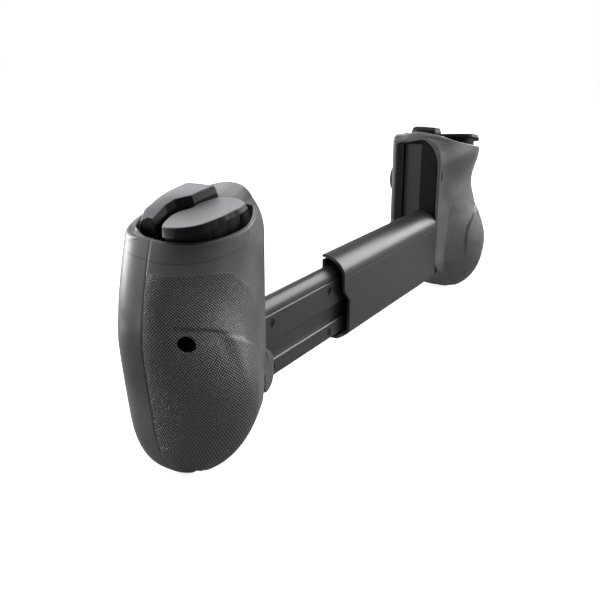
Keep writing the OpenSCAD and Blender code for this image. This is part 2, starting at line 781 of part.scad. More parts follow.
module at_cross() translate([lower_x, cross_pivot_y, lower_z]) children();
module cross() at_cross() {
    top = cross_top - cross_pivot_y;
    disc = cross_disc_front - cross_pivot_y;
    block([-cross_half, top, -cross_arm / 2], [cross_half, disc + cross_disc_t, cross_arm / 2]);
    block([-cross_arm / 2, top, -cross_half], [cross_arm / 2, disc + cross_disc_t, cross_half]);
    rod_y(0, 0, cross_disc_r, disc, cross_disc_t);
    rod_y(0, 0, cross_stem_r, disc, rocker_pin_r - disc);
    cylinder(r = rocker_pin_r, h = 2 * (yoke_half_z - slip), center = true);
}
module cross_rocker() at_cross() {
    half_x = frame_post_in - rocker_ring_gap;
    half_z = yoke_half_z;
    outer = frame_post_in + frame_post_t;
    difference() {
        union() {
            block([-half_x, -yoke_t / 2, -half_z], [half_x, yoke_t / 2, half_z]);
            rod_x(slip - outer, 0, 0, trunnion_r, 2 * (outer - slip));
        }
        block([rocker_ring_bar - half_x, -far / 2, yoke_bar - half_z],
              [half_x - rocker_ring_bar, far / 2, half_z - yoke_bar]);
        cylinder(r = rocker_pin_r + pin_gap, h = far, center = true);
    }
}
module cross_frame() at_cross() {
    depth = board_front - cross_pivot_y;
    outer = frame_post_in + frame_post_t;
    difference() {
        union() {
            block([-outer, depth - frame_foot_t, -2 * frame_half_z], [outer, depth, 2 * frame_half_z]);
            for (x = [-outer, frame_post_in])
                block([x, -frame_post_t, -frame_half_z], [x + frame_post_t, depth, frame_half_z]);
        }
        rod_x(-far / 2, 0, 0, trunnion_r + pin_gap, far);
    }
}

module jack()
    translate([end_x, port_y, port_low]) difference() {
        cylinder(r = jack_r, h = port_high - port_low);
        translate([0, 0, -over]) cylinder(r = jack_bore_r, h = port_high - port_low);
    }
// Receptacle with a tongue in the middle of its slot
module port_socket() {
    half_w = port_w / 2;
    half_t = port_t / 2;
    translate([end_x, port_y, port_low]) {
        difference() {
            block([-half_w, -half_t, 0], [half_w, half_t, port_high - port_low]);
            block([port_skin - half_w, port_skin - half_t, -over],
                  [half_w - port_skin, half_t - port_skin, port_high - port_low - over]);
        }
        block([-port_tongue_w / 2, -port_tongue_t / 2, over],
              [port_tongue_w / 2, port_tongue_t / 2, port_high - port_low - over]);
    }
}

// Side profile of the sleeve, inset by w: curved top, flat back, rounded lower edge
function sleeve_outline(w, front) = concat(
    [[front, sleeve_bottom + w]],
    [for (i = [0 : 8]) let (a = 90 * i / 8 - 90, r = sleeve_round - w)
        [sleeve_back - sleeve_round + r * cos(a), sleeve_bottom + sleeve_round + r * sin(a)]],
    [for (i = [0 : 12]) let (a = 90 * i / 12)
        [(sleeve_back - w) * cos(a), crease_z + (sleeve_top - crease_z - w) * sin(a)]],
    front < 0 ? [[front, sleeve_top - w]] : []
);
module at_sleeve() translate([-bay_w / 2, 0, 0]) children();
module sleeve_cover() at_sleeve() {
    difference() {
        along_x(sleeve_len) polygon(sleeve_outline(0, 0));
        translate([-over, 0, 0]) along_x(sleeve_len + 2 * over) polygon(sleeve_outline(sleeve_wall, -over));
        // step in the open end
        block([sleeve_len - notch_depth, rail_back, notch_low],
              [sleeve_len + over, sleeve_back + over, notch_high]);
    }
    // rib that runs in the guide groove of the rail
    block([0, rail_back - guide_depth + slide_gap, guide_mid - guide_h / 2 + slide_gap],
          [sleeve_len - notch_depth, sleeve_back - sleeve_wall / 2, guide_mid + guide_h / 2 - slide_gap]);
    // post of the spring reel
    translate([reel_x, reel_y, tape_low])
        cylinder(r = reel_post_r, h = sleeve_top - sleeve_wall - tape_low);
}
module sleeve_liner() at_sleeve()
    block([0, 0, sleeve_bottom + sleeve_wall + slip],
          [sleeve_len, plate_back, sleeve_top - sleeve_wall - 4 * slip]);
// Side profile of the whole rail, grown by a clearance
function rail_outline(grow) = let (front = frame_front - grow, depth = rail_back + grow - front) concat(
    [[front, rail_bottom - grow], [rail_back + grow, rail_bottom - grow]],
    [for (i = [0 : 8]) let (a = 90 * i / 8)
        [front + depth * cos(a), rail_crease + (rail_top + grow - rail_crease) * sin(a)]]
);
module rail_body()
    translate([bay_w / 2 - rail_len, 0, 0]) along_x(rail_len + rail_root) polygon(rail_outline(0));
module ribbon_slot(x0, x1)
    block([x0, ribbon_y - slip, ribbon_low - slip], [x1, ribbon_y + ribbon_t + slip, ribbon_high + slip]);
module at_rail_screws()
    for (x = rail_screw_x)
        for (z = rail_screw_z)
            translate([bay_w / 2 - x, 0, z]) children();
module frame_of_rail()
    difference() {
        intersection() {
            rail_body();
            block([-far, -far, -far], [far, cover_front, far]);
        }
        ribbon_slot(-far, far);
        at_rail_screws() rod_y(0, 0, screw_r - pin_gap, rail_screw_tip - 2 * slip, far);
    }
module cover_of_rail()
    difference() {
        intersection() {
            rail_body();
            block([-far, cover_front, -far], [far, far, far]);
        }
        block([-far, rail_back - guide_depth, guide_mid - guide_h / 2], [far, far, guide_mid + guide_h / 2]);
        at_rail_screws() {
            rod_y(0, 0, rail_screw_r + slip, rail_back - rail_screw_sink, far);
            rod_y(0, 0, screw_r, cover_front - over, far);
        }
    }
module bridge_screws()
    at_rail_screws() {
        rod_y(0, 0, rail_screw_r, rail_back - rail_screw_sink, rail_screw_head);
        rod_y(0, 0, screw_r - 2 * pin_gap, rail_screw_tip, rail_back - rail_screw_sink - rail_screw_tip);
    }
// Constant force spring: a reel of tape at the fixed end, its free end on the rail
module tape_spring() {
    reel = reel_x - bay_w / 2;
    difference() {
        translate([reel, reel_y, tape_low]) cylinder(r = reel_r, h = tape_high - tape_low);
        translate([reel, reel_y, tape_low - over]) cylinder(r = reel_post_r + slip, h = far);
    }
    block([reel, tape_y, tape_low], [bay_w / 2 - rail_len, tape_y + tape_t, tape_high]);
}
module flat_cable()
    block([-bay_w / 2 - ribbon_reach, ribbon_y, ribbon_low],
          [bay_w / 2 + ribbon_reach, ribbon_y + ribbon_t, ribbon_high]);

module left_front_shell() color(smoke) on_left() front_shell("left");
module left_back_shell() color(smoke) on_left() back_shell("left");
module left_cradle_wall() color(black) on_left() cradle_wall("left");
module left_end_pad() color(silicone) on_left() end_pad("left");
module left_faceplate() color(smoke) on_left() faceplate("left");
module left_magnets() color(steel) on_left() magnets();
module left_bracket() color(black) on_left() bracket();
module left_bumper() color(cap_grey) on_left() bumper();
module left_hinge_pins() color(steel) on_left() hinge_pins();
module left_bumper_switch() color(steel) on_left() bumper_switch();
module left_trigger() color(cap_grey) on_left() trigger();
module left_trigger_spring() color(steel) on_left() trigger_spring();
module left_stick_base() color(steel) on_left() at_pivot(upper_x, upper_z) stick_base();
module left_stick_yoke() color(black) on_left() at_pivot(upper_x, upper_z) stick_yoke();
module left_stick_rocker() color(black) on_left() at_pivot(upper_x, upper_z) stick_rocker();
module left_stick_cap() color(black) on_left() at_pivot(upper_x, upper_z) stick_cap();
module left_main_board() color(board_green) on_left() main_board();
module left_screws() color(steel) on_left() screws();
module dpad_cross() color(black) on_left() cross();
module dpad_rocker() color(black) on_left() cross_rocker();
module dpad_frame() color(black) on_left() cross_frame();
module select_button() color(black) on_left() small_button(small_spots[0]);
module capture_button() color(black) on_left() small_button(small_spots[1]);
module audio_jack() color(black) on_left() jack();
module right_front_shell() color(smoke) on_right() front_shell("right");
module right_back_shell() color(smoke) on_right() back_shell("right");
module right_cradle_wall() color(black) on_right() cradle_wall("right");
module right_end_pad() color(silicone) on_right() end_pad("right");
module right_faceplate() color(smoke) on_right() faceplate("right");
module right_magnets() color(steel) on_right() magnets();
module right_bracket() color(black) on_right() bracket();
module right_bumper() color(cap_grey) on_right() bumper();
module right_hinge_pins() color(steel) on_right() hinge_pins();
module right_bumper_switch() color(steel) on_right() bumper_switch();
module right_trigger() color(cap_grey) on_right() trigger();
module right_trigger_spring() color(steel) on_right() trigger_spring();
module right_stick_base() color(steel) on_right() at_pivot(lower_x, lower_z) stick_base();
module right_stick_yoke() color(black) on_right() at_pivot(lower_x, lower_z) stick_yoke();
module right_stick_rocker() color(black) on_right() at_pivot(lower_x, lower_z) stick_rocker();
module right_stick_cap() color(black) on_right() at_pivot(lower_x, lower_z) stick_cap();
module right_main_board() color(board_green) on_right() main_board();
module right_screws() color(steel) on_right() screws();
module north_button() color(black) on_right() face_button(face_spots[0]);
module east_button() color(black) on_right() face_button(face_spots[1]);
module south_button() color(black) on_right() face_button(face_spots[2]);
module west_button() color(black) on_right() face_button(face_spots[3]);
module button_pad() color(silicone) on_right() face_pad();
module menu_button() color(black) on_right() small_button(small_spots[0]);
module home_button() color(black) on_right() small_button(small_spots[1]);
module device_plug() color(steel) on_right() plug();
module charge_port() color(steel) on_right() port_socket();
module sleeve() color(smoke) sleeve_cover();
module sleeve_front_plate() color(black) sleeve_liner();
module rail_frame() color(black) frame_of_rail();
module rail_cover() color(smoke) cover_of_rail();
module rail_screws() color(steel) bridge_screws();
module return_spring() color(steel) tape_spring();
module ribbon_cable() color(copper) flat_cable();

left_front_shell();
left_back_shell();
left_cradle_wall();
left_end_pad();
left_faceplate();
left_magnets();
left_bracket();
left_bumper();
left_hinge_pins();
left_bumper_switch();
left_trigger();
left_trigger_spring();
left_stick_base();
left_stick_yoke();
left_stick_rocker();
left_stick_cap();
left_main_board();
left_screws();
dpad_cross();
dpad_rocker();
dpad_frame();
select_button();
capture_button();
audio_jack();
right_front_shell();
right_back_shell();
right_cradle_wall();
right_end_pad();
right_faceplate();
right_magnets();
right_bracket();
right_bumper();
right_hinge_pins();
right_bumper_switch();
right_trigger();
right_trigger_spring();
right_stick_base();
right_stick_yoke();
right_stick_rocker();
right_stick_cap();
right_main_board();
right_screws();
north_button();
east_button();
south_button();
west_button();
button_pad();
menu_button();
home_button();
device_plug();
charge_port();
sleeve();
sleeve_front_plate();
rail_frame();
rail_cover();
rail_screws();
return_spring();
ribbon_cable();
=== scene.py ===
# Telescopic handheld game controller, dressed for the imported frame.
# Lengths are in millimetres until a mesh is made. Each grip is worked out in a local frame
# (x outwards from its inner wall, y towards the back, z up) and placed on its side of the bay.
import json

import bmesh
import bpy
import numpy as np
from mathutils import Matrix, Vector


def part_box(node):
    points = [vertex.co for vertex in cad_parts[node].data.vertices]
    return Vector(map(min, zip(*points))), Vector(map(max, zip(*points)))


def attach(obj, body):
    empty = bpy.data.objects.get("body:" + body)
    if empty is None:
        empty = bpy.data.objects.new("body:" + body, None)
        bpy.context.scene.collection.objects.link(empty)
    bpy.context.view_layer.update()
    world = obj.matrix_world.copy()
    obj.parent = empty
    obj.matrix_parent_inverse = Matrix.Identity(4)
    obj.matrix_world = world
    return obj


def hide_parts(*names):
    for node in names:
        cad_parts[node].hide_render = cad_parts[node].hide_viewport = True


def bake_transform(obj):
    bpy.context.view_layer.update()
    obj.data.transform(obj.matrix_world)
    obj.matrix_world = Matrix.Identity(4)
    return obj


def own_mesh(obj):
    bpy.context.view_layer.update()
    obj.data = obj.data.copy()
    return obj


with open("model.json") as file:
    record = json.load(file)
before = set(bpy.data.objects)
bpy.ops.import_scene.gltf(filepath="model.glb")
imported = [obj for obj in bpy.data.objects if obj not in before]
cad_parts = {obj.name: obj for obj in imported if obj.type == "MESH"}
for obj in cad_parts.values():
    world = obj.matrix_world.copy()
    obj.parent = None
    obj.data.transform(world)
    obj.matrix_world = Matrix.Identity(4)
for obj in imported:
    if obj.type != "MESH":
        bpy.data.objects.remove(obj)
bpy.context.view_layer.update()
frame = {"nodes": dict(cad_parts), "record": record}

BAY_HALF = 88.0
SIDES = {"left": -1, "right": 1}

# Grip form
GRIP_W, FLANK_Z, TOP_DRAW, BASE_DRAW = 56.7, -8.0, 7.3, 6.3
PALM_Y, PALM_Z, WAIST_Y, WAIST_Z = 27.9, -27.0, 17.8, 8.0
RIM_Y, RIM_Z, HEEL_Y, BASE_Z = 22.6, 28.0, 17.4, -59.2
EDGE_Y, FRONT_Y, END_X, CLOSE_Z = 11.2, -17.5, 40.0, -34.0
RIDGE_TOP_X, RIDGE_PALM_X, BAND_SLOPE = 27.0, 32.0, 0.28
SHELL_WALL, FRONT_WALL, LIFT = 2.0, 3.4, 1.2
RIM_TOP, RIM_FALL_X, RIM_FALL_Y = 37.3, 0.196, 0.094
POCKET_FLOOR, POCKET_IN = 20.0, 12.5

# Inner wall of the bay
WALL_T, WALL_FRONT, WALL_LOW, WALL_HIGH, WALL_INSET = 8.0, -14.7, -42.1, 34.6, 1.3
WALL_GAP = 0.15
SEAM_BEVEL = 0.12
GROOVE_FRONT, GROOVE_BACK, GROOVE_DEPTH = -10.2, 0.2, 2.2
LUG = [(2, -42.8), (-0.6, -42.8), (-3.6, -40.6), (-5.1, -37), (-5.1, -30), (-3, -26.5), (2, -23.5)]
LUG_FRONT = 8.2

# Screw well and ports
WELL_X, WELL_Z, WELL_R, WELL_FLOOR, WELL_LEAN = 49.3, -5.0, 2.45, 2.0, 0.12
PORT_Y, PORT_HALF_X, PORT_HALF_Y, JACK_R = 8.4, 4.7, 1.85, 3.2
PORT_LOW, PORT_HIGH = -61, -52.6

# Controls
PLATE_X, PLATE_Z, PLATE_HALF_X, PLATE_HALF_Z = 22.5, -3.0, 18.5, 30.5
PLATE_FRONT, PLATE_BACK = -17.8, -16.3
UPPER, LOWER = (27.0, 8.0), (22.0, -20.0)
STICK_HOLE_R, CROSS_HOLE_R = 8.2, 12.0
FACE_R, SMALL_R, BUTTON_GAP = 4.5, 2.4, 0.4
FACE_SPOTS = {"north": (27.0, 17.2), "east": (36.2, 8.0), "south": (27.0, -1.2), "west": (17.8, 8.0)}
SMALL_SPOTS = [(12.2, 17.0), (12.2, -3.0)]
PIVOT_Y = -4.5

# Bridge
SLEEVE_LEN, SLEEVE_BACK, SLEEVE_TOP, SLEEVE_CREASE = 112.0, 11.5, -3.7, -13.2
SLEEVE_BOTTOM, SLEEVE_ROUND, SLEEVE_WALL, SET_BACK = -43.0, 4.0, 1.3, 5.5
RAIL_LEN, RAIL_FRONT, COVER_FRONT, RAIL_BACK = 106.0, 1.8, 4.4, 7.5
RAIL_TOP, RAIL_CREASE, RAIL_BOTTOM = -8.9, -14.3, -40.8
GUIDE_LOW, GUIDE_HIGH, GUIDE_DEPTH = -33.55, -26.05, 1.5
RAIL_SCREW_X, RAIL_SCREW_Z = (10.0, 57.0), (-18.0, -37.2)
REEL_R, REEL_POST_R, TAPE_T = 2.2, 1.15, 0.3


# Meshes

def quads(rows, cols):
    """Quads of a grid of points that is numbered row by row."""
    r, c = np.meshgrid(np.arange(rows - 1), np.arange(cols - 1), indexing="ij")
    first = (r * cols + c).ravel()
    return np.stack([first, first + 1, first + cols + 1, first + cols], axis=1)


def weld(mesh):
    """Merges points that lie together, so that grids join along their borders, and turns faces outwards."""
    bm = bmesh.new()
    bm.from_mesh(mesh)
    bmesh.ops.remove_doubles(bm, verts=bm.verts, dist=3e-7)
    bmesh.ops.recalc_face_normals(bm, faces=bm.faces)
    if bm.calc_volume(signed=True) < 0:
        bmesh.ops.reverse_faces(bm, faces=bm.faces)
    bm.to_mesh(mesh)
    bm.free()


def grid_mesh(name, patches, finish=None, skin=None):
    """Mesh of several grids of points, each (rows, columns, 3) in millimetres.
    finish gives each grid's place in the list of materials; skin gives each grid's (u, v, mask) values."""
    points = np.concatenate([p.reshape(-1, 3) for p in patches])
    starts = np.cumsum([0] + [p.shape[0] * p.shape[1] for p in patches[:-1]])
    faces = [quads(*p.shape[:2]) + s for p, s in zip(patches, starts)]
    mesh = bpy.data.meshes.new(name)
    mesh.from_pydata(points / 1000, [], np.concatenate(faces).tolist())
    if finish:
        index = np.concatenate([np.full(len(f), i) for f, i in zip(faces, finish)])
        mesh.polygons.foreach_set("material_index", index.astype(np.int32))
    if skin is not None:
        layer = mesh.attributes.new("skin", "FLOAT_VECTOR", "POINT")
        layer.data.foreach_set("vector", np.concatenate([s.reshape(-1, 3) for s in skin]).ravel())
    weld(mesh)
    return mesh


def cutter(name, patches, materials=()):
    """Closed solid that is only used to cut others; its cut faces take the last of its materials."""
    obj = bpy.data.objects.new(name, grid_mesh(name, patches, [len(materials) - 1] * len(patches) if materials else None))
    for m in materials:
        obj.data.materials.append(m)
    bpy.context.scene.collection.objects.link(obj)
    return obj


def carve(obj, *cutters):
    """Cuts each solid out of the piece and keeps the result as the piece's own mesh."""
    for c in cutters:
        cut = obj.modifiers.new("cut", "BOOLEAN")
        cut.object, cut.operation, cut.solver = c, "DIFFERENCE", "MANIFOLD"
        result = bpy.data.meshes.new_from_object(obj.evaluated_get(bpy.context.evaluated_depsgraph_get()))
        obj.modifiers.clear()
        obj.data = result
        bpy.data.objects.remove(c)


def piece(name, patches, body, nodes, materials, finish=None, skin=None, cuts=(), angle=32, stretch=None):
    """One visible piece: its mesh, shading, materials, body and the nodes that it stands for.
    stretch = (second body, start, end), when given, leaves the piece on no body with its placing baked into the mesh;
    the bodies and ends in it are not used."""
    obj = bpy.data.objects.new(name, grid_mesh(name, patches, finish, skin))
    bpy.context.scene.collection.objects.link(obj)
    for m in materials:
        obj.data.materials.append(m)
    carve(obj, *cuts)
    obj.data.name = name
    obj.data.shade_smooth()
    obj.data.set_sharp_from_angle(angle=np.radians(angle))
    if stretch:
        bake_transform(obj)
    else:
        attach(obj, body)
    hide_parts(*nodes)
    return obj


def place(patch, side):
    """Moves a grid from a grip's local frame to its side of the bay."""
    return np.stack([SIDES[side] * (BAY_HALF + patch[..., 0]), patch[..., 1], patch[..., 2]], axis=-1)


def points_at(x, y, z):
    """Grid of points from three arrays that fit together."""
    return np.stack(np.broadcast_arrays(x, y, z), axis=-1).astype(float)


# Lines and outlines

def smooth_line(points, rounds=3):
    """Open line with its corners cut again and again at a quarter of each side; its ends stay."""
    line = np.array(points, float)
    for _ in range(rounds):
        a, b = line[:-1], line[1:]
        cut = np.stack([0.75 * a + 0.25 * b, 0.25 * a + 0.75 * b], axis=1).reshape(-1, line.shape[1])
        line = np.concatenate([line[:1], cut, line[-1:]])
    return line


def smooth_ring(points, rounds=3):
    """Closed outline with its corners cut in the same way."""
    line = np.array(points, float)
    for _ in range(rounds):
        after = np.roll(line, -1, axis=0)
        line = np.stack([0.75 * line + 0.25 * after, 0.25 * line + 0.75 * after], axis=1).reshape(-1, 2)
    return line


def round_corners(points, r, steps=6):
    """Closed outline with straight sides and its corners rounded by quadratic curves that start r from each."""
    p = np.array(points, float)
    before, after = np.roll(p, 1, axis=0) - p, np.roll(p, -1, axis=0) - p
    reach = [np.minimum(r, 0.45 * np.linalg.norm(d, axis=1))[:, None] for d in (before, after)]
    p0 = p + before / np.linalg.norm(before, axis=1)[:, None] * reach[0]
    p2 = p + after / np.linalg.norm(after, axis=1)[:, None] * reach[1]
    t = np.linspace(0, 1, steps + 1)[None, :, None]
    return ((1 - t) ** 2 * p0[:, None] + 2 * t * (1 - t) * p[:, None] + t * t * p2[:, None]).reshape(-1, 2)


def along(line, share):
    """Points of a line at shares of its length."""
    length = np.concatenate([[0], np.cumsum(np.linalg.norm(np.diff(line, axis=0), axis=1))])
    at = np.asarray(share) * length[-1]
    return np.stack([np.interp(at, length, line[:, i]) for i in range(line.shape[1])], axis=-1)


def polar(outline, centre, angle):
    """Distance of a closed outline from a centre that sees all of it, at each angle."""
    d = np.asarray(outline) - centre
    a = np.arctan2(d[:, 1], d[:, 0])
    order = np.argsort(a)
    return np.interp(angle, a[order], np.hypot(d[:, 0], d[:, 1])[order], period=2 * np.pi)


def step(t):
    """Smooth step from 0 to 1 as t goes from 0 to 1."""
    t = np.clip(t, 0, 1)
    return t * t * (3 - 2 * t)


# Solids of a profile

def lathe(profile, x, z, sides=64, ridges=None):
    """Turned solid about an axis along Y at (x, z): radius and y of each profile point, carried round
    the axis. ridges = (count, height, weight per point) waves the radius for a knurl."""
    r, y = np.array(profile, float).T
    a = np.linspace(0, 2 * np.pi, sides + 1)[None, :]
    radius = r[:, None] + np.zeros_like(a)
    if ridges:
        count, height, weight = ridges
        radius = radius + height * np.asarray(weight)[:, None] * np.cos(count * a)
    return points_at(x + radius * np.cos(a), y[:, None], z + radius * np.sin(a))


def slab(outline, y0, y1, r, steps=4):
    """Flat solid along Y with rounded rims: rings of the outline, drawn in by a quarter round of radius r
    at both faces and closed to the middle. The outline is (x, z)."""
    ring = np.concatenate([outline, outline[:1]])
    middle = outline.mean(axis=0)
    after, before = np.roll(outline, -1, axis=0), np.roll(outline, 1, axis=0)
    tangent = after - before
    inward = np.stack([-tangent[:, 1], tangent[:, 0]], axis=1)
    inward /= np.linalg.norm(inward, axis=1)[:, None]
    inward *= np.sign(np.sum(inward * (middle - outline), axis=1).mean())
    inward = np.concatenate([inward, inward[:1]])
    a = np.linspace(0, np.pi / 2, steps + 1)
    inset = np.concatenate([[r + 0.15], r * (1 - np.sin(a)), r * (1 - np.sin(a[::-1])), [r + 0.15]])
    y = np.concatenate([[y0], y0 + r * (1 - np.cos(a)), y1 - r * (1 - np.cos(a[::-1])), [y1]])
    rows = ring[None] + inward[None] * inset[:, None, None]
    x = np.concatenate([np.full((1, len(ring)), middle[0]), rows[..., 0], np.full((1, len(ring)), middle[0])])
    z = np.concatenate([np.full((1, len(ring)), middle[1]), rows[..., 1], np.full((1, len(ring)), middle[1])])
    return points_at(x, np.concatenate([[y0], y, [y1]])[:, None], z)


def box_grid(low, high):
    """Plain box between two corners, as a ring of four sides closed to the middle of its two ends."""
    (x0, y0, z0), (x1, y1, z1) = low, high
    x = np.array([x0, x1, x1, x0, x0])
    z = np.array([z0, z0, z1, z1, z0])
    mid = np.full(5, (x0 + x1) / 2), np.full(5, (z0 + z1) / 2)
    return points_at(np.stack([mid[0], x, x, mid[0]]), np.array([[y0], [y0], [y1], [y1]]),
                     np.stack([mid[1], z, z, mid[1]]))


def channel(outer, inner, x0, x1, lengths=2, bevel=0.0):
    """Bar along X between two side profiles (y, z) with the same number of points: an outer and an
    inner skin from x0 to x1, lips along their first and last points, and strips across both ends.
    x1 may differ from point to point, and a bevel draws the outer skin in at both ends."""
    x1 = np.broadcast_to(np.asarray(x1, float), len(outer))
    share = np.linspace(0, 1, lengths)[:, None]
    toward = inner - outer
    toward = toward / np.maximum(np.linalg.norm(toward, axis=1), 1e-6)[:, None] * bevel
    x = np.concatenate([[np.full(len(outer), x0)], x0 + bevel + (x1 - x0 - 2 * bevel) * share, [x1]])
    inset = np.concatenate([[1.0], np.zeros(lengths), [1.0]])[:, None]
    skin = points_at(x, outer[:, 0] + toward[:, 0] * inset, outer[:, 1] + toward[:, 1] * inset)
    lining = points_at(x, inner[:, 0], inner[:, 1])
    ends = [np.stack([skin[k], lining[k]]) for k in (0, -1)]
    lips = [np.stack([skin[:, k], lining[:, k]]) for k in (0, -1)]
    return [skin, lining] + ends + lips


# Grip surface

def ease(a, b, t):
    """Cosine step from a to b."""
    return a + (b - a) * (1 - np.cos(np.pi * np.clip(t, 0, 1))) / 2


def ridge_y(z):
    """Depth of the back over the height: rim, finger waist and palm swell joined by cosine steps,
    then a quarter cosine down to the heel."""
    upper = ease(WAIST_Y, RIM_Y, (z - WAIST_Z) / (RIM_Z - WAIST_Z))
    middle = ease(PALM_Y, WAIST_Y, (z - PALM_Z) / (WAIST_Z - PALM_Z))
    fall = np.clip((PALM_Z - z) / (PALM_Z - BASE_Z), 0, 1)
    heel = PALM_Y - (PALM_Y - HEEL_Y) * (1 - np.cos(np.pi / 2 * fall))
    return np.where(z > WAIST_Z, upper, np.where(z > PALM_Z, middle, heel))


def flank_x(z):
    """Width over the height: widest at one height, drawn in by a power of the distance from it."""
    above = np.clip((z - FLANK_Z) / (RIM_Z - FLANK_Z), 0, None)
    below = np.clip((FLANK_Z - z) / (FLANK_Z - BASE_Z), 0, None)
    return GRIP_W - TOP_DRAW * above ** 1.6 - BASE_DRAW * below ** 1.2


def ridge_x(z):
    """Place of the back's highest line across the grip: further out at the palm than at the waist."""
    return RIDGE_TOP_X + (RIDGE_PALM_X - RIDGE_TOP_X) * step((WAIST_Z - z) / 26)


def fold_x(z):
    """Width of the smooth band along the inner edge, where the palm swell begins."""
    return np.interp(z, [-59, -45, -31, -18, -7.5, 0, 8, 20], [2, 5, 7, 9.8, 11, 9, 3, 0])


def shoulder(z):
    """Elliptic round of the inner wall's back top corner."""
    return 13 * (1 - np.sqrt(np.clip(1 - (np.clip(z - 21.5, 0, None) / 15.5) ** 2, 0, 1)))


def wall_edge(z):
    """Depth of the grip's inner edge behind the bay."""
    return np.maximum(0.6, EDGE_Y - shoulder(z))


def closing(z, power):
    """Share of the section that is left towards the lower end: a superellipse of the given power."""
    t = np.clip((CLOSE_Z - z) / (CLOSE_Z - BASE_Z), 0, 1)
    return (1 - t ** power) ** (1 / power)


def drawn_in(x, y, z):
    """Draws a section in towards the point of the lower end, gently inside it and bluntly outside."""
    inner = END_X - (END_X - x) * closing(z, 1.11)
    outer = END_X + (x - END_X) * closing(z, 2.6)
    return np.where(x < END_X, inner, outer), y * closing(z, 3.0)


def rim_z(x, y):
    """Tilted plane that the rim of the grip lies on; along the bay it is a little higher at the back and
    lower at the front."""
    crown = 1.2 * step((y + 12) / 12) - 2.4 * step((-3 - y) / 14)
    return RIM_TOP - RIM_FALL_X * x - RIM_FALL_Y * y + crown * step((14 - x) / 11)


def rim_round(x, y):
    """Radius of the rim's outer edge: fine at the back and flank, full at the front and towards the bay."""
    return 0.6 + np.maximum(2.9 * step((-3 - y) / 9), 1.6 * step((10 - x) / 6))


def corner(p0, p1, p2, t):
    """Rounded corner: the quadratic curve from p0 to p2 that leaves both towards p1."""
    return tuple((1 - t) ** 2 * a + 2 * t * (1 - t) * b + t * t * c for a, b, c in zip(p0, p1, p2))


BACK_COLS = (78, 50, 9, 7)
FRONT_COLS = (60, 26, 9, 7)


def back_section(z, w, y_end, y_last):
    """Back half of a section, inset by w: a superellipse quarter of power 2.2 from the seam to the
    ridge, the palm swell that falls with the 1.3th power towards a gently sloped band, a rounded corner,
    and the inner face down to y_end, with its last point at y_last."""
    za, zb, zc, zd = np.split(z, np.cumsum(BACK_COLS)[:-1], axis=1)
    _, yb, yc, yd = np.split(np.broadcast_to(y_end, z.shape), np.cumsum(BACK_COLS)[:-1], axis=1)
    t = np.pi / 2 * np.linspace(0, 1, BACK_COLS[0], endpoint=False)
    x_oval = ridge_x(za) + (flank_x(za) - w - ridge_x(za)) * np.cos(t) ** (2 / 2.2)
    y_oval = (ridge_y(za) - w) * np.sin(t) ** (2 / 2.2)

    def slope(zs, x):
        """Depth of the inner slope: the band's parabola, plus a swell that rises with 1 - (1 - v) ** 1.3."""
        span, b = ridge_x(zs) - w, fold_x(zs)
        e = wall_edge(zs) - w
        start = soft(-b)
        v = (soft(x - b) - start) / (soft(span - b) - start)
        band = e + BAND_SLOPE * (x - x * x / (2 * span))
        return band + (ridge_y(zs) - w - e - BAND_SLOPE * span / 2) * (1 - np.clip(1 - v, 0, 1) ** 1.3)

    def soft(d):
        """Soft start: nearly 0 before d = 0 and nearly d after it, a hyperbola of 3 mm."""
        return (d + np.sqrt(d * d + 9)) / 2

    def fillet(zs, ys):
        """Radius of the corner at the inner edge, less where the inner face is short."""
        return np.clip(0.9 * (wall_edge(zs) - w - ys), 0.02, 2.2 if w == 0 else 0.3)
    x_slope = ridge_x(zb) - w
    x_slope = x_slope + (fillet(zb, yb) - x_slope) * np.linspace(0, 1, BACK_COLS[1])
    r = fillet(zc, yc)
    t = np.linspace(0, 1, BACK_COLS[2] + 1)[1:]
    e = wall_edge(zc) - w
    x_round, y_round = corner((w + r, slope(zc, r)), (w, e), (w, e - r), t)
    top = wall_edge(zd) - w - fillet(zd, yd)
    y_face = top + (yd - top) * np.append(np.linspace(0, 1, BACK_COLS[3])[1:], 1)
    y_face[:, -1:] = y_last
    x = np.concatenate([x_oval, w + x_slope, x_round, np.full_like(y_face, w)], axis=1)
    y = np.concatenate([y_oval, slope(zb, x_slope), y_round, y_face], axis=1)
    return drawn_in(x, y, z - LIFT * w)


def front_section(z, w, y_end, y_last):
    """Front half of a section, inset by w: a superellipse quarter of power 3.4 from the seam to the
    flat front, the flat front, a rounded corner, and the inner face back to y_end, with its last point
    at y_last."""
    face = FRONT_Y + (FRONT_WALL if w else 0)
    za, zb, zc, zd = np.split(z, np.cumsum(FRONT_COLS)[:-1], axis=1)
    yd = np.broadcast_to(y_end, z.shape)[:, -FRONT_COLS[3]:]
    s = np.linspace(0, 1, FRONT_COLS[0], endpoint=False)
    t = np.pi / 2 * (0.5 - 0.5 * np.cos(np.pi * s))
    half = 24.0
    x_oval = flank_x(za) - w - half + half * np.cos(t) ** (2 / 3.4)
    y_oval = face * np.sin(t) ** (2 / 3.4) + 0 * za
    r = 2.0 if w == 0 else 0.3
    start = flank_x(zb) - w - half
    x_flat = start + (w + r - start) * np.linspace(0, 1, FRONT_COLS[1])
    t = np.linspace(0, 1, FRONT_COLS[2] + 1)[1:]
    x_round, y_round = corner((w + r, face), (w, face), (w, face + r), t)
    y_face = face + r + (yd - face - r) * np.append(np.linspace(0, 1, FRONT_COLS[3])[1:], 1)
    y_face[:, -1:] = y_last
    x = np.concatenate([x_oval, x_flat, x_round + 0 * zc, np.full_like(zd, w)], axis=1)
    y = np.concatenate([y_oval, np.full_like(zb, face), y_round + 0 * zc, y_face], axis=1)
    return drawn_in(x, y, z - LIFT * w)


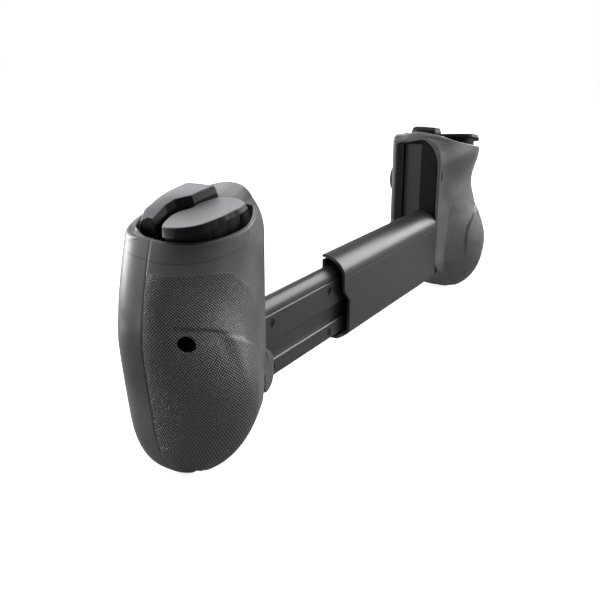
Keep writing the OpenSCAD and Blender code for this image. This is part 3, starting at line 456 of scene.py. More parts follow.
# Rows of a grip from its lower end to the rim. Level rows reach LEVEL_Z; above it a row is a share of
# the height to the rim. Two rows lie together where the inner wall starts and ends and at the pocket floor.
LEVEL_Z, WALL_START = 5.0, -40.49
POCKET_SHARE = 0.55
WALL_SHARE = (WALL_HIGH + WALL_GAP - LEVEL_Z) / (rim_z(0, 0) - rim_round(0, 0) - LEVEL_Z)
lower = CLOSE_Z + (BASE_Z - CLOSE_Z) * np.sin(np.pi / 2 * np.linspace(1, 0, 66)[:-1])
lower = np.sort(np.concatenate([lower, [WALL_START, WALL_START]]))
level = np.concatenate([lower, np.linspace(CLOSE_Z, LEVEL_Z, 84)])
shares = np.sort(np.concatenate([np.linspace(0, 1, 56)[1:], [POCKET_SHARE] * 2, [WALL_SHARE] * 2]))
ROW_Z = np.concatenate([level, np.full(len(shares), LEVEL_Z)])[:, None]
ROW_SHARE = np.concatenate([np.zeros(len(level)), shares])[:, None]
order = np.arange(len(ROW_Z))[:, None]
first, last = np.argmax(ROW_Z == WALL_START) + 1, np.argmax(ROW_SHARE == WALL_SHARE)
IN_WALL = (order >= first) & (order <= last)
BY_WALL = (order >= first - 1) & (order <= last + 1)
IN_POCKET = order > np.argmax(ROW_SHARE == POCKET_SHARE)

# Palm ledge and border of the dotted grip panel on the back, as (x, z)
LEDGE = smooth_line([(60, 1.2), (55, 0.7), (50.5, 0), (45, -1.4), (41, -2.8), (36.5, -5), (31, -7.6), (26, -11),
                     (22, -15.5), (19.8, -21), (19, -27), (20.5, -36), (26, -47), (34, -56)], 2)
PANEL_Z = [-59, -50, -42.8, -36, -31, -18, -7.5, 0, 6.2, 8.2, 11.5, 14.6, 16.2, 17]
PANEL_X = [40, 24, 12.2, 8.6, 7.6, 9.8, 11.5, 14.5, 18.5, 22, 26.5, 31, 37.7, 44]
PANEL_TOP = 17.0


def signed_distance(x, z, line):
    """Distance of points from a line, positive on its right-hand side, from its nearest segment."""
    a, b = line[:-1], line[1:]
    d = b - a
    px, pz = x[..., None] - a[:, 0], z[..., None] - a[:, 1]
    t = np.clip((px * d[:, 0] + pz * d[:, 1]) / (d ** 2).sum(axis=1), 0, 1)
    gap = np.hypot(px - t * d[:, 0], pz - t * d[:, 1])
    near = np.argmin(gap, axis=-1)[..., None]
    side = np.take_along_axis(np.sign(d[:, 1] * px - d[:, 0] * pz), near, axis=-1)[..., 0]
    return np.take_along_axis(gap, near, axis=-1)[..., 0] * side


def panel_mask(x, z):
    """1 on the dotted panel, fading over half a millimetre at its border."""
    border = np.interp(z, PANEL_Z, PANEL_X)
    return step((x - border) / 0.5 + 0.5) * step((PANEL_TOP - z) / 0.5 + 0.5)


def relief(x, y, z):
    """Raised panel (0.15 mm) and palm ledge: on the inner part 0.8 mm proud at its edge, fading over 16 mm;
    on the outer part a lip of 0.8 mm over a hollow that fades over 5 mm."""
    inside = -signed_distance(x, z, LEDGE)
    outward = step((x - 35) / 6)
    proud = 0.8 * step(inside / 0.9) * np.exp(-np.clip(inside, 0, None) / 16) * step((z + 38) / 18)
    hollow = 0.8 * step((inside + 0.6) / 0.8) * np.exp(-np.clip(inside, 0, None) / 5) * step((54 - x) / 3)
    ledge = proud * (1 - outward) - hollow * outward
    return (0.15 * panel_mask(x, z) + ledge) * step((y - 0.3) / 2.5)


def front_dent(x, y, z):
    """Soft dent of 0.25 mm round the flank of the front shell, at the height of the palm ledge."""
    return -0.25 * np.exp(-((z - 0.5) / 3) ** 2) * step((y + 15) / 7) * step((-0.3 - y) / 2.5) * step((x - 24) / 10)


def grip_grid(section, y_end):
    """Outer surface of half a grip: rows from the lower end to the rim, where the height of each upper
    row is found by a few rounds of working out the section and the rim above it."""
    z = ROW_Z + np.zeros((1, sum(BACK_COLS if section is back_section else FRONT_COLS)))
    for _ in range(6):
        x, y = section(z, 0, *y_end(z))
        top = rim_z(x, y) - rim_round(x, y)
        z = np.where(ROW_SHARE > 0, LEVEL_Z + (top - LEVEL_Z) * ROW_SHARE, ROW_Z + 0 * z)
    return x, y, z


def grip_shell(half, side):
    """Half a grip as a closed wall: its outer surface up to the rim, the rim with rounded edges, the wall
    of the pocket and the inset inner surface, joined along the seam and round the inner wall."""
    back = half == "back"
    section = back_section if back else front_section
    sign = 1 if back else -1

    def y_end(z):
        """Where each row's section ends: the border of the inner wall beside it, else the seam."""
        back_line = np.clip(EDGE_Y - shoulder(z + WALL_INSET) - WALL_INSET + WALL_GAP, 0, None)
        line = (back_line if back else WALL_FRONT - WALL_GAP) / np.maximum(closing(z, 3.0), 0.5)
        ends = np.where(BY_WALL, line, sign * SEAM_BEVEL)
        return ends, np.where(IN_WALL, line, 0)[:, -1:]
    x, y, z = grip_grid(section, y_end)
    dx, dy = np.gradient(x, axis=1), np.gradient(y, axis=1)
    size = np.maximum(np.hypot(dx, dy), 1e-9)
    out_x, out_y = sign * dy / size, -sign * dx / size
    lift = relief(x, y, z) if back else front_dent(x, y, z)
    mask = panel_mask(x, z)
    x, y = x + lift * out_x, y + lift * out_y
    skin = np.zeros(x.shape + (3,))
    if back:
        run = np.cumsum(np.hypot(np.diff(x, axis=1, prepend=x[:, :1]), np.diff(y, axis=1, prepend=y[:, :1])), axis=1)
        ridge = BACK_COLS[0]
        rise = np.hypot(np.diff(y[:, ridge], prepend=y[0, ridge]), np.diff(z[:, ridge], prepend=z[0, ridge]))
        skin = points_at(run - run[:, ridge:ridge + 1], np.cumsum(rise)[:, None], mask)
    # a bevel along the seam
    small = closing(ROW_Z, 3.0)[:, 0]
    x[:, 0] -= SEAM_BEVEL * small
    y[:, 0] = sign * 0.07 * small
    outer = points_at(x, y, z)

    # inner surface below the pocket
    z_in = np.where(ROW_SHARE > 0, LEVEL_Z + (POCKET_FLOOR - LEVEL_Z) * ROW_SHARE / POCKET_SHARE, ROW_Z)
    span = CLOSE_Z - BASE_Z
    z_in = np.where(z_in < CLOSE_Z, CLOSE_Z + (z_in - CLOSE_Z) * (span - LIFT * SHELL_WALL) / span, z_in)
    z_in = np.minimum(z_in, POCKET_FLOOR) + np.zeros_like(x)
    wall_line = (wall_edge(z_in) - SHELL_WALL - 0.02) if back else np.full_like(z_in, FRONT_Y + FRONT_WALL)
    x_in, y_in = section(z_in, SHELL_WALL, np.where(BY_WALL, wall_line, sign * SEAM_BEVEL),
                         np.where(IN_WALL, wall_line, 0)[:, -1:])
    if not back:
        flat = (np.arange(x.shape[1])[None, :] >= FRONT_COLS[0]) & BY_WALL
        flat[~IN_WALL[:, 0], -1] = False
        x_in = np.where(flat, np.maximum(x_in, WALL_T + 0.2), x_in)
        y_in = np.where(flat, FRONT_Y + FRONT_WALL, y_in)
    # wall of the pocket: the outer surface inset, but flat towards the bay
    rise = (ROW_SHARE - POCKET_SHARE) / (1 - POCKET_SHARE)
    thick = 1.3 + 2.7 * step((-2 - y) / 8) + 0.9 * (1 - rise)
    px, py = np.maximum(x - thick * out_x, POCKET_IN), y - thick * out_y
    py = py if back else np.maximum(py, FRONT_Y + 4.0)
    py[:, 0], py[:, -1] = y[:, 0], 0
    r_in = 0.35
    inner = np.where(IN_POCKET[..., None],
                     points_at(px, py, POCKET_FLOOR + (rim_z(px, py) - r_in - POCKET_FLOOR) * rise),
                     points_at(x_in, y_in, z_in))

    # rim: quarter rounds outside and inside with a flat between
    a = np.linspace(0, np.pi / 2, 7)[:, None]
    r_out = rim_round(outer[-1, :, 0], outer[-1, :, 1])
    toward = inner[-1, :, :2] - outer[-1, :, :2]
    toward /= np.linalg.norm(toward, axis=1)[:, None]
    tx, ty = toward.T
    outside = points_at(outer[-1, :, 0] + tx * r_out * (1 - np.cos(a)), outer[-1, :, 1] + ty * r_out * (1 - np.cos(a)),
                        outer[-1, :, 2] + r_out * np.sin(a))
    inside = points_at(inner[-1, :, 0] - tx * r_in * (1 - np.cos(a)), inner[-1, :, 1] - ty * r_in * (1 - np.cos(a)),
                       inner[-1, :, 2] + r_in * np.sin(a))
    rim = np.concatenate([outside, inside[::-1]])
    # edges of the wall: along the seam of the flank, and round the opening for the inner wall
    seam = np.stack([np.concatenate([outer[:, 0], outside[1:, 0]]), np.concatenate([inner[:, 0], inside[1:, 0]])])
    o, i = outer[:, -1], inner[:, -1]
    back_of_wall = np.full(len(o), WALL_T + 0.2)
    shut = o[:, 1] == 0
    between = o[:, 2] + (i[:, 2] - o[:, 2]) * (back_of_wall - o[:, 0]) / np.maximum(i[:, 0] - o[:, 0], 1)
    a = np.where(IN_POCKET, points_at(back_of_wall, o[:, 1], np.where(shut, between, o[:, 2])), i)
    b = np.where(IN_POCKET, points_at(back_of_wall, 0 * o[:, 1], np.where(shut, between, i[:, 2])), i)
    if not back:
        front_edge = points_at(back_of_wall, o[:, 1], i[:, 2])
        a, b = (np.where(IN_WALL & ~IN_POCKET, front_edge, p) for p in (a, b))
    edge = np.stack([np.concatenate([line, end]) for line, end in
                     ((o, outside[1:, -1]), (a, outside[1:, -1]), (b, inside[1:, -1]), (i, inside[1:, -1]))])
    patches = [outer, rim, inner, seam, edge]
    skins = [skin] + [np.zeros_like(p) for p in patches[1:]]
    return [place(p, side) for p in patches], skins


def surface_y(x, z):
    """Depth of the back's outer oval at a place outside the ridge."""
    f, yb, xr = flank_x(np.array(z)), ridge_y(np.array(z)), ridge_x(np.array(z))
    return yb * (1 - np.clip((x - xr) / (f - xr), 0, 1) ** 2.2) ** (1 / 2.2)


def rod_cutter(name, spots, y0, y1, side, flare=0.0):
    """Round cutters along Y at (x, z, radius), each with an optional flare at its y0 end."""
    patches = []
    for x, z, r in spots:
        profile = [(0, y0), (r + flare, y0), (r, y0 + flare), (r, y1), (0, y1)]
        patches.append(place(lathe(profile, x, z, 48), side))
    return cutter(name, patches)


def control_spots(side):
    """Holes for the controls of one side: x, z and radius."""
    small = [(x, z, SMALL_R + BUTTON_GAP) for x, z in SMALL_SPOTS]
    if side == "left":
        return [UPPER + (STICK_HOLE_R,), LOWER + (CROSS_HOLE_R,)] + small
    return [(x, z, FACE_R + BUTTON_GAP) for x, z in FACE_SPOTS.values()] + [LOWER + (STICK_HOLE_R,)] + small


def plate_outline(grow):
    """Superellipse of power 4 round the controls."""
    a = np.linspace(0, 2 * np.pi, 128, endpoint=False)
    c, s = np.cos(a), np.sin(a)
    return np.stack([PLATE_X + (PLATE_HALF_X + grow) * np.sign(c) * np.abs(c) ** 0.5,
                     PLATE_Z + (PLATE_HALF_Z + grow) * np.sign(s) * np.abs(s) ** 0.5], axis=1)


# Materials

def srgb(text):
    """Linear colour of an sRGB hex value."""
    c = np.array([int(text[i:i + 2], 16) for i in (1, 3, 5)]) / 255
    return tuple(np.where(c <= 0.04045, c / 12.92, ((c + 0.055) / 1.055) ** 2.4)) + (1.0,)


def add(tree, kind, inputs=None, **settings):
    """Adds a node, with its settings, and its sockets set to values or linked to other nodes' outputs."""
    n = tree.nodes.new("ShaderNode" + kind)
    for key, value in settings.items():
        setattr(n, key, value)
    for key, value in (inputs or {}).items():
        if isinstance(value, bpy.types.NodeSocket):
            tree.links.new(value, n.inputs[key])
        else:
            n.inputs[key].default_value = value
    return n


def plastic(name, dark, light, grain_mm, grain_depth_mm, roughness, extra=None, shader=None):
    """Moulded surface: two close tones in a soft mottle of some 17 mm, fine grain of grain_mm as bump, and a
    roughness that wanders a little. extra(tree, coords, colour, normal) may add a pattern, and shader sets
    other sockets; a metal keeps the shader's own IOR."""
    mat = bpy.data.materials.new(name)
    mat.use_nodes = True
    tree = mat.node_tree
    tree.nodes.clear()
    coords = add(tree, "TexCoord").outputs["Object"]
    mottle = add(tree, "TexNoise", {"Vector": coords, "Scale": 60.0, "Detail": 3.0})
    colour = add(tree, "Mix", {0: mottle.outputs["Fac"], 6: srgb(dark), 7: srgb(light)}, data_type="RGBA").outputs[2]
    grain = add(tree, "TexNoise", {"Vector": coords, "Scale": 1000 / grain_mm, "Detail": 2.0})
    normal = add(tree, "Bump", {"Height": grain.outputs["Fac"], "Distance": grain_depth_mm / 1000, "Strength": 1.0})
    normal = normal.outputs["Normal"]
    if extra:
        colour, normal = extra(tree, coords, colour, normal)
    rough = add(tree, "MapRange", {"Value": mottle.outputs["Fac"], "To Min": roughness - 0.04, "To Max": roughness + 0.05})
    sockets = {"Base Color": colour, "Roughness": rough.outputs["Result"], "Normal": normal}
    sockets.update(shader or {"IOR": 1.5})
    bsdf = add(tree, "BsdfPrincipled", sockets)
    add(tree, "OutputMaterial", {"Surface": bsdf.outputs["BSDF"]})
    return mat


DOT_PITCH = 0.78  # drawn coarser than the real dots, about 0.6 mm apart, which are too fine for the picture


def grip_skin(tree, coords, colour, normal):
    """Soft dark clouds of some 25 mm, painted shade standing in for the dark parts inside that show faintly through;
    round raised dots on a diamond lattice, the sum of two cosines along the diagonals of the surface's own (u, v) in
    millimetres, only where the mask is 1, with painted highlights on their tops and painted shade in the gaps between
    them; and a fine line round the grip, 6 mm under the plane of the rim."""
    # painted shade: soft dark clouds standing in for the dark parts inside, seen faintly through the shell
    inner_shade_cloud = add(tree, "TexNoise", {"Vector": coords, "Scale": 38.0, "Detail": 1.0}).outputs["Fac"]
    inner_shade_cloud = add(tree, "MapRange", {"Value": inner_shade_cloud, "From Min": 0.42, "From Max": 0.68, "To Max": 0.6}).outputs["Result"]
    colour = add(tree, "Mix", {0: inner_shade_cloud, 6: colour, 7: srgb("#38383a")}, data_type="RGBA").outputs[2]
    skin = add(tree, "Attribute", attribute_name="skin").outputs["Vector"]
    mask = add(tree, "SeparateXYZ", {"Vector": skin}).outputs["Z"]
    turn = 2 * np.pi / DOT_PITCH
    diagonal = add(tree, "Mapping", {"Vector": skin, "Rotation": (0, 0, np.pi / 4), "Scale": (turn, turn, 1)})
    uv = add(tree, "SeparateXYZ", {"Vector": diagonal.outputs["Vector"]})
    waves = [add(tree, "Math", {0: uv.outputs[k]}, operation="COSINE").outputs[0] for k in ("X", "Y")]
    both = add(tree, "Math", {0: waves[0], 1: waves[1]}, operation="ADD").outputs[0]
    dot = add(tree, "MapRange", {"Value": both, "From Min": -0.5, "From Max": 1.3}, interpolation_type="SMOOTHSTEP")
    raised_dot_and_highlight = add(tree, "Math", {0: dot.outputs["Result"], 1: mask}, operation="MULTIPLY").outputs[0]
    # painted shade and highlight: the gaps between the raised dots are painted near-black, and the dots' tops are
    # painted light as their highlight
    gap = add(tree, "Math", {0: mask, 1: raised_dot_and_highlight}, operation="SUBTRACT").outputs[0]
    colour = add(tree, "Mix", {0: gap, 6: colour, 7: srgb("#121214")}, data_type="RGBA").outputs[2]
    colour = add(tree, "Mix", {0: raised_dot_and_highlight, 6: colour, 7: srgb("#9a9a9c")}, data_type="RGBA").outputs[2]
    normal = add(tree, "Bump", {"Height": raised_dot_and_highlight, "Normal": normal, "Distance": 0.00016, "Strength": 1.0}).outputs["Normal"]
    place_in = add(tree, "VectorMath", {0: coords}, operation="ABSOLUTE").outputs["Vector"]
    across = add(tree, "SeparateXYZ", {"Vector": place_in}).outputs["X"]
    depth, height = (add(tree, "SeparateXYZ", {"Vector": coords}).outputs[k] for k in ("Y", "Z"))
    level = (RIM_TOP - 6 + RIM_FALL_X * BAY_HALF) / 1000
    under = add(tree, "Math", {0: across, 1: RIM_FALL_X, 2: height}, operation="MULTIPLY_ADD").outputs[0]
    under = add(tree, "Math", {0: depth, 1: RIM_FALL_Y, 2: under}, operation="MULTIPLY_ADD").outputs[0]
    line = add(tree, "Math", {0: under, 1: level, 2: 0.0002}, operation="COMPARE").outputs[0]
    faint = add(tree, "Math", {0: line, 1: 0.45}, operation="MULTIPLY").outputs[0]
    colour = add(tree, "Mix", {0: faint, 6: colour, 7: srgb("#1c1c1e")}, data_type="RGBA").outputs[2]
    return colour, normal


def board_traces(tree, coords, colour, normal):
    """Solder mask with copper tracks under it: thin stripes every 2.6 mm, bent by noise."""
    wave = add(tree, "TexWave", {"Vector": coords, "Scale": 120.0, "Distortion": 6.0, "Detail": 1.0}, bands_direction="Z")
    track = add(tree, "MapRange", {"Value": wave.outputs["Fac"], "From Min": 0.7, "From Max": 0.8})
    lighter = add(tree, "Mix", {0: track.outputs["Result"], 6: colour, 7: srgb("#2f7a55")}, data_type="RGBA")
    return lighter.outputs[2], normal


def ribbon_tracks(tree, coords, colour, normal):
    """Flat cable: copper tracks every 1 mm under amber film, drawn coarser than
    the real ones, about 0.5 mm apart."""
    wave = add(tree, "TexWave", {"Vector": coords, "Scale": 314.0}, bands_direction="Z")
    lighter = add(tree, "Mix", {0: wave.outputs["Fac"], 6: colour, 7: srgb("#c98a4a")}, data_type="RGBA")
    return lighter.outputs[2], normal


# Smoked polycarbonate, moulded with a fine spark finish: light sinks in, so that edges glow and the dark parts inside
# show faintly, helped by painted shade in its colour; on the dotted panel it carries painted highlights and painted
# shade
smoked_shell = plastic("smoked_polycarbonate_painted_shade", "#66666a", "#8c8c8e", 0.35, 0.008, 0.34, grip_skin,
                       {"Transmission Weight": 0.35, "IOR": 1.58})
# The same polycarbonate, polished: clearer reflections on the front plates
smoked_plate = plastic("smoked_polycarbonate_polished", "#3a3a3c", "#424244", 0.5, 0.004, 0.22, None,
                       {"Transmission Weight": 0.15, "IOR": 1.58})
# Glass-filled nylon, moulded satin: an even grain with broad soft reflections on the bridge
bridge_plastic = plastic("filled_nylon_moulded_satin", "#2b2b2c", "#353536", 0.4, 0.012, 0.34)
# Black ABS, moulded satin: deep black with a weak sheen
black_plastic = plastic("black_abs_moulded_satin", "#0a0a0b", "#0f0f10", 0.35, 0.010, 0.46, None,
                        {"Specular IOR Level": 0.22, "IOR": 1.5})
# Grey satin tops of the keys that fingers rest on: painted sheen of the light from above, lighter than their black
# sides
control_grey = plastic("grey_satin_painted_top_sheen", "#68686c", "#727276", 0.3, 0.008, 0.4)
# Black rubber, moulded: dull and grainy
stick_rubber = plastic("black_rubber_moulded", "#1a1a1a", "#222222", 0.3, 0.02, 0.68)
# Black ABS, polished: small sharp glints on the rims of the buttons
button_black = plastic("black_abs_polished", "#1b1b1d", "#202022", 0.6, 0.003, 0.2)
# Silicone rubber, moulded: soft sheen without clear reflections
silicone = plastic("silicone_rubber_moulded", "#2a2a2b", "#333334", 0.4, 0.012, 0.6)
# Nickel-plated steel, machined: bright, with soft streaks of reflection
steel = plastic("plated_steel_machined", "#b4b4b4", "#c6c6c4", 0.25, 0.004, 0.3, None, {"Metallic": 1.0})
# Black-oxide steel, cut: small screws with dark heads that only glint
dark_steel = plastic("black_oxide_steel_cut", "#2e2e2f", "#3a3a3a", 0.25, 0.006, 0.34, None, {"Metallic": 1.0})
# Glass-epoxy board under green solder mask: a smooth sheen over faint tracks
circuit_board = plastic("glass_epoxy_board_masked", "#123f2c", "#16482f", 0.5, 0.004, 0.32, board_traces)
# Polyimide flat cable: amber film with copper lines
ribbon = plastic("polyimide_flat_cable", "#8a5722", "#96602a", 0.6, 0.003, 0.35, ribbon_tracks)
FINISHES = {"smoked_shell": smoked_shell, "smoked_plate": smoked_plate, "bridge_plastic": bridge_plastic,
            "black_plastic": black_plastic, "control_grey": control_grey, "stick_rubber": stick_rubber,
            "button_black": button_black, "silicone": silicone, "steel": steel,
            "circuit_board": circuit_board, "ribbon": ribbon}
for part in frame["record"]["subparts"]:
    data = frame["nodes"][part["node"]].data
    data.materials.clear()
    data.materials.append(dark_steel if "screws" in part["node"] else FINISHES[part["material_slot"]])


# Grips
for side in SIDES:
    body = side + "_half"
    # back shell: screw well in a boss, both leaning outwards, the opening at the lower end and a latch slot
    patches, skins = grip_shell("back", side)
    deep = float(surface_y(WELL_X, WELL_Z)) + 6
    well = lathe([(0, WELL_FLOOR - 3), (1.4, WELL_FLOOR - 3), (1.4, WELL_FLOOR), (WELL_R, WELL_FLOOR), (WELL_R, deep),
                  (0, deep)], WELL_X, WELL_Z, 48)
    boss = lathe([(0, 0), (WELL_R + 1.4, 0), (WELL_R + 1.4, 1), (0, 1)], WELL_X, WELL_Z, 48)
    boss[2:, :, 1] = surface_y(boss[2:, :, 0] + 1.5, boss[2:, :, 2]) - 1
    for solid in (well, boss):
        solid[..., 0] += WELL_LEAN * np.clip(solid[..., 1] - WELL_FLOOR, 0, None)
    patches, skins = patches + [place(boss, side)], skins + [np.zeros_like(boss)]
    if side == "left":
        a = np.linspace(0, 2 * np.pi, 49)[None, :]
        r = np.array([0, JACK_R, JACK_R, 0])[:, None]
        rise = np.array([PORT_LOW, PORT_LOW, PORT_HIGH, PORT_HIGH])[:, None]
        opening = points_at(END_X + r * np.cos(a), PORT_Y + r * np.sin(a), rise)
    else:
        opening = box_grid((END_X - PORT_HALF_X, PORT_Y - PORT_HALF_Y, PORT_LOW),
                           (END_X + PORT_HALF_X, PORT_Y + PORT_HALF_Y, PORT_HIGH))
    latch = box_grid((1.6, 9.4, 12.8), (2.4, 14.5, 18.0))
    piece(side + "_grip_back", patches, body, [side + "_back_shell"], [smoked_shell, black_plastic],
          None, skins,
          # the well's cut faces take the black plastic: painted shade inside the deep screw hole
          [cutter("well", [place(well, side)], [smoked_shell, black_plastic]), cutter("opening", [place(opening, side)]),
           cutter("latch", [place(latch, side)])])
    # front shell: recess of the front plate and the holes of the controls
    patches, skins = grip_shell("front", side)
    recess = slab(plate_outline(0.15), FRONT_Y - 2, FRONT_Y + 1.2, 0.05, 1)
    piece(side + "_grip_front", patches, body, [side + "_front_shell"], [smoked_shell], None, skins,
          [cutter("recess", [place(recess, side)]),
           rod_cutter("holes", control_spots(side), FRONT_Y - 1, FRONT_Y + FRONT_WALL + 2, side)])
    plate = slab(plate_outline(0), PLATE_FRONT, PLATE_BACK, 0.45)
    piece(side + "_front_plate", [place(plate, side)], body, [side + "_faceplate"], [smoked_plate],
          cuts=[rod_cutter("holes", control_spots(side), PLATE_FRONT - 0.01, PLATE_BACK + 1, side, 0.3)])

    # inner wall of the bay: its outline from the side, rounded edges, and a foot that rounds off outwards
    top = np.linspace(20, WALL_HIGH, 12)
    outline = [(WALL_FRONT, WALL_LOW), (EDGE_Y - WALL_INSET, WALL_LOW)]
    outline += list(zip(EDGE_Y - shoulder(top + WALL_INSET) - WALL_INSET, top))
    ahead = np.linspace(0, WALL_FRONT, 12)
    under_rim = LEVEL_Z + (rim_z(0, ahead) - rim_round(0, ahead) - LEVEL_Z) * WALL_SHARE - WALL_GAP
    outline += list(zip(ahead, under_rim))
    dense = along(np.array(outline + outline[:1]), np.linspace(0, 1, 320, endpoint=False))
    yz = smooth_ring(dense, 1)
    flat = slab(yz, 0, WALL_T, 0.5)
    x, y, z = flat[..., 1], flat[..., 0], flat[..., 2]
    foot = np.clip((-36.5 - z) / 5.6, 0, 1)
    z = z + foot * 5.0 * (1 - np.sqrt(np.clip(1 - (1 - x / WALL_T) ** 2, 0, 1)))
    slot_cut = box_grid((-1, GROOVE_FRONT, -60), (GROOVE_DEPTH, GROOVE_BACK, 60))
    wall, tints = [place(points_at(x, y, z), side)], [0]
    if side == "right":
        # foot that the set-back end of the sleeve closes round, beside the rail
        lug = slab(round_corners(LUG, 1.6), LUG_FRONT, SLEEVE_BACK, 0.8)
        wall, tints = wall + [place(lug, side)], [0, 1]
    piece(side + "_bay_wall", wall, body, [side + "_cradle_wall"], [black_plastic, smoked_plate], tints,
          cuts=[cutter("groove", [place(slot_cut, side)], [black_plastic])])

    # bumper: sections along x between a front line, a back line and a top line, with a round front edge
    # and a steep facet along the back that bends in straight lengths; only the flat of its top is grey, as painted
    # sheen of the light from above
    front_line = np.array([(13.6, -9.6), (16, -12.7), (37.6, -12.7), (42.4, -10.2), (42.8, -9.8)])
    back_line = np.array([(13.6, 0.2), (14.6, 1.6), (15.8, 2.1), (27.4, 0.9), (31.4, -3.3), (35.2, -4.3), (42.8, -3.8)])
    top_line = np.concatenate([[(13.6, 37), (14.2, 38.4), (16.4, 39.8)],
                               smooth_line([(16.5, 39.9), (28, 38.4), (36, 35.6), (42.5, 32.6)], 3), [(42.8, 32.3)]])
    xs = np.concatenate([front_line[:, 0], back_line[:, 0], [14.2, 16.4, 16.5, 42.5], np.linspace(13.6, 42.8, 60)])
    xs = np.unique(xs)
    yf, yb, zt = (np.interp(xs, line[:, 0], line[:, 1]) for line in (front_line, back_line, top_line))
    zl = np.where(xs < 20.5, 33.1, 33.2 - 0.16 * xs)
    section_y = np.stack([yf, yf, yf + 0.5, yf + 1.3, yf + 2.6, 0.5 * (yf + yb), yb - 1.2, yb - 0.9, yb, yb, yf], axis=1)
    section_z = np.stack([zl, zt - 2.6, zt - 1.2, zt - 0.5, zt - 0.1, zt, zt - 0.12, zt - 0.3, zt - 2.8, zl, zl], axis=1)
    section_z = np.maximum(section_z, zl[:, None])
    ring = points_at(xs[:, None], section_y, section_z)
    middle = ring.mean(axis=1, keepdims=True)
    ends = [np.concatenate([np.broadcast_to(middle[k], ring[k].shape)[None], ring[k][None]]) for k in (0, -1)]
    first, last = np.searchsorted(xs, 16.4), np.searchsorted(xs, 42.5)
    strips = [ring[first:last + 1, :8], ring[:first + 1, :8], ring[last:, :8], ring[:, 7:]] + ends
    piece(side + "_bumper_key", [place(p, side) for p in strips], side + "_bumper", [side + "_bumper"],
          [control_grey, black_plastic], [0, 1, 1, 1, 1, 1], angle=16)

    # trigger: a hollow cap in rings round its middle: dished top, chamfer that flares out to a lip, and a
    # skirt that hangs close inside the pocket, clear of the bracket inside it
    plan = round_corners([(49, 4.4), (42.6, 0.8), (34.2, -1.1), (30.2, 1.5), (18.4, 3.3), (17.8, 6.4), (21.8, 17.6),
                          (25, 20), (33, 19.8), (40.2, 18.5), (44.8, 16.7), (47.6, 13.8), (48.8, 9.9)], 1.4)
    skirt_plan = round_corners([(46.9, 3.4), (42, 1.8), (20.4, 3.6), (20, 6), (22.2, 15.6), (25.6, 18.2), (34, 18),
                                (40.2, 16), (44.4, 12.6), (46.9, 8)], 1.2)
    centre = np.array([33.0, 9.5])
    a = np.linspace(-np.pi, np.pi, 241)[None, :]
    edge, skirt = polar(plan, centre, a), polar(skirt_plan, centre, a)
    flare = 0.8 * step((np.sin(a) + 0.45) / 0.5)
    tall = 1.5 + 1.4 * step((np.cos(a) - 0.2) / 0.6)
    share = np.array([0, 0.15, 0.3, 0.45, 0.6, 0.72, 0.82, 0.9, 0.96, 0.985, 1.0])[:, None]
    drop = np.array([0.7, 0.68, 0.62, 0.53, 0.4, 0.27, 0.15, 0.06, 0.0, 0.04, 0.18])[:, None]
    skirt = np.minimum(skirt, edge + flare - 0.5)
    rad = np.concatenate([share * edge, edge + flare - 0.1, edge + flare, edge + flare - 0.3, skirt, skirt, skirt - 0.3,
                          skirt - 0.7, skirt - 0.7, 0 * skirt])
    x, y = centre[0] + rad * np.cos(a), centre[1] + rad * np.sin(a)
    plane = 38.9 - 0.143 * x + 0.085 * (y - 4)
    z = np.concatenate([plane[:11] - drop, plane[11:12] - tall, plane[12:13] - tall - 0.25, plane[13:14] - tall - 0.5,
                        plane[14:15] - tall - 0.6, np.full_like(a, 24.3), np.full_like(a, 24.0), np.full_like(a, 24.0),
                        plane[18:19] - 1.9, plane[19:] - 1.9])
    key = points_at(x, y, z)
    # its dished top is grey, as painted sheen of the light from above; the rest is black
    piece(side + "_trigger_key", [place(key[:11], side), place(key[10:], side)], side + "_trigger",
          [side + "_trigger"], [control_grey, black_plastic], [0, 1], angle=25)


# Sticks: shaft, cover dome, stalk and a dished cap with a knurled side
STICK_SPOTS = {"left": UPPER, "right": LOWER}
dome = np.radians(np.linspace(18, 50, 9))
stick = [(0, 1.3), (1.6, 1.3), (1.6, -8.2)]
stick += [(8.4 * np.sin(t), -8.4 * np.cos(t)) for t in dome] + [(9.4 * np.sin(t), -9.4 * np.cos(t)) for t in dome[::-1]]
stick += [(2.8, -9.2), (2.7, -17.4), (3.2, -18.0), (7.0, -18.1), (7.8, -18.5), (8.3, -19.0), (8.4, -19.4), (8.4, -21.2),
          (8.3, -21.7), (7.9, -22.2), (7.3, -22.45), (6.7, -22.4), (6.2, -22.0), (5.6, -21.5), (4.5, -21.3), (2.5, -21.2),
          (0, -21.2)]
knurl = [1.0 if -21.3 < h < -19.3 and r > 8 else 0.0 for r, h in stick]
for side, (x, z) in STICK_SPOTS.items():
    profile = [(r, PIVOT_Y + h) for r, h in stick]
    cap = lathe(profile, x, z, 192, (48, 0.1, knurl))
    piece(side + "_stick", [place(cap, side)], side + "_stick_cap", [side + "_stick_cap"], [stick_rubber])

# Buttons: a crowned top with a rounded edge, a flange behind the front wall and a stem


def button(name, side, spot, r, top, stem_r, stem_end):
    """Turned push button."""
    profile = [(0, top), (0.5 * r, top + 0.04), (0.8 * r, top + 0.12), (r - 0.35, top + 0.25), (r - 0.1, top + 0.45),
               (r, top + 0.8), (r, -13.9), (r + 0.9, -13.9), (r + 0.9, -13.0), (stem_r, -13.0), (stem_r, stem_end),
               (0, stem_end)]
    piece(name + "_key", [place(lathe(profile, *spot, 64), side)], name + "_button", [name + "_button"],
          [button_black])


for name, spot in FACE_SPOTS.items():
    button(name, "right", spot, FACE_R, -20.4, 1.6, -2.7)
for side, names in {"left": ("select", "capture"), "right": ("menu", "home")}.items():
    for name, spot in zip(names, SMALL_SPOTS):
        button(name, side, spot, SMALL_R, -19.4, 1.0, -0.8)

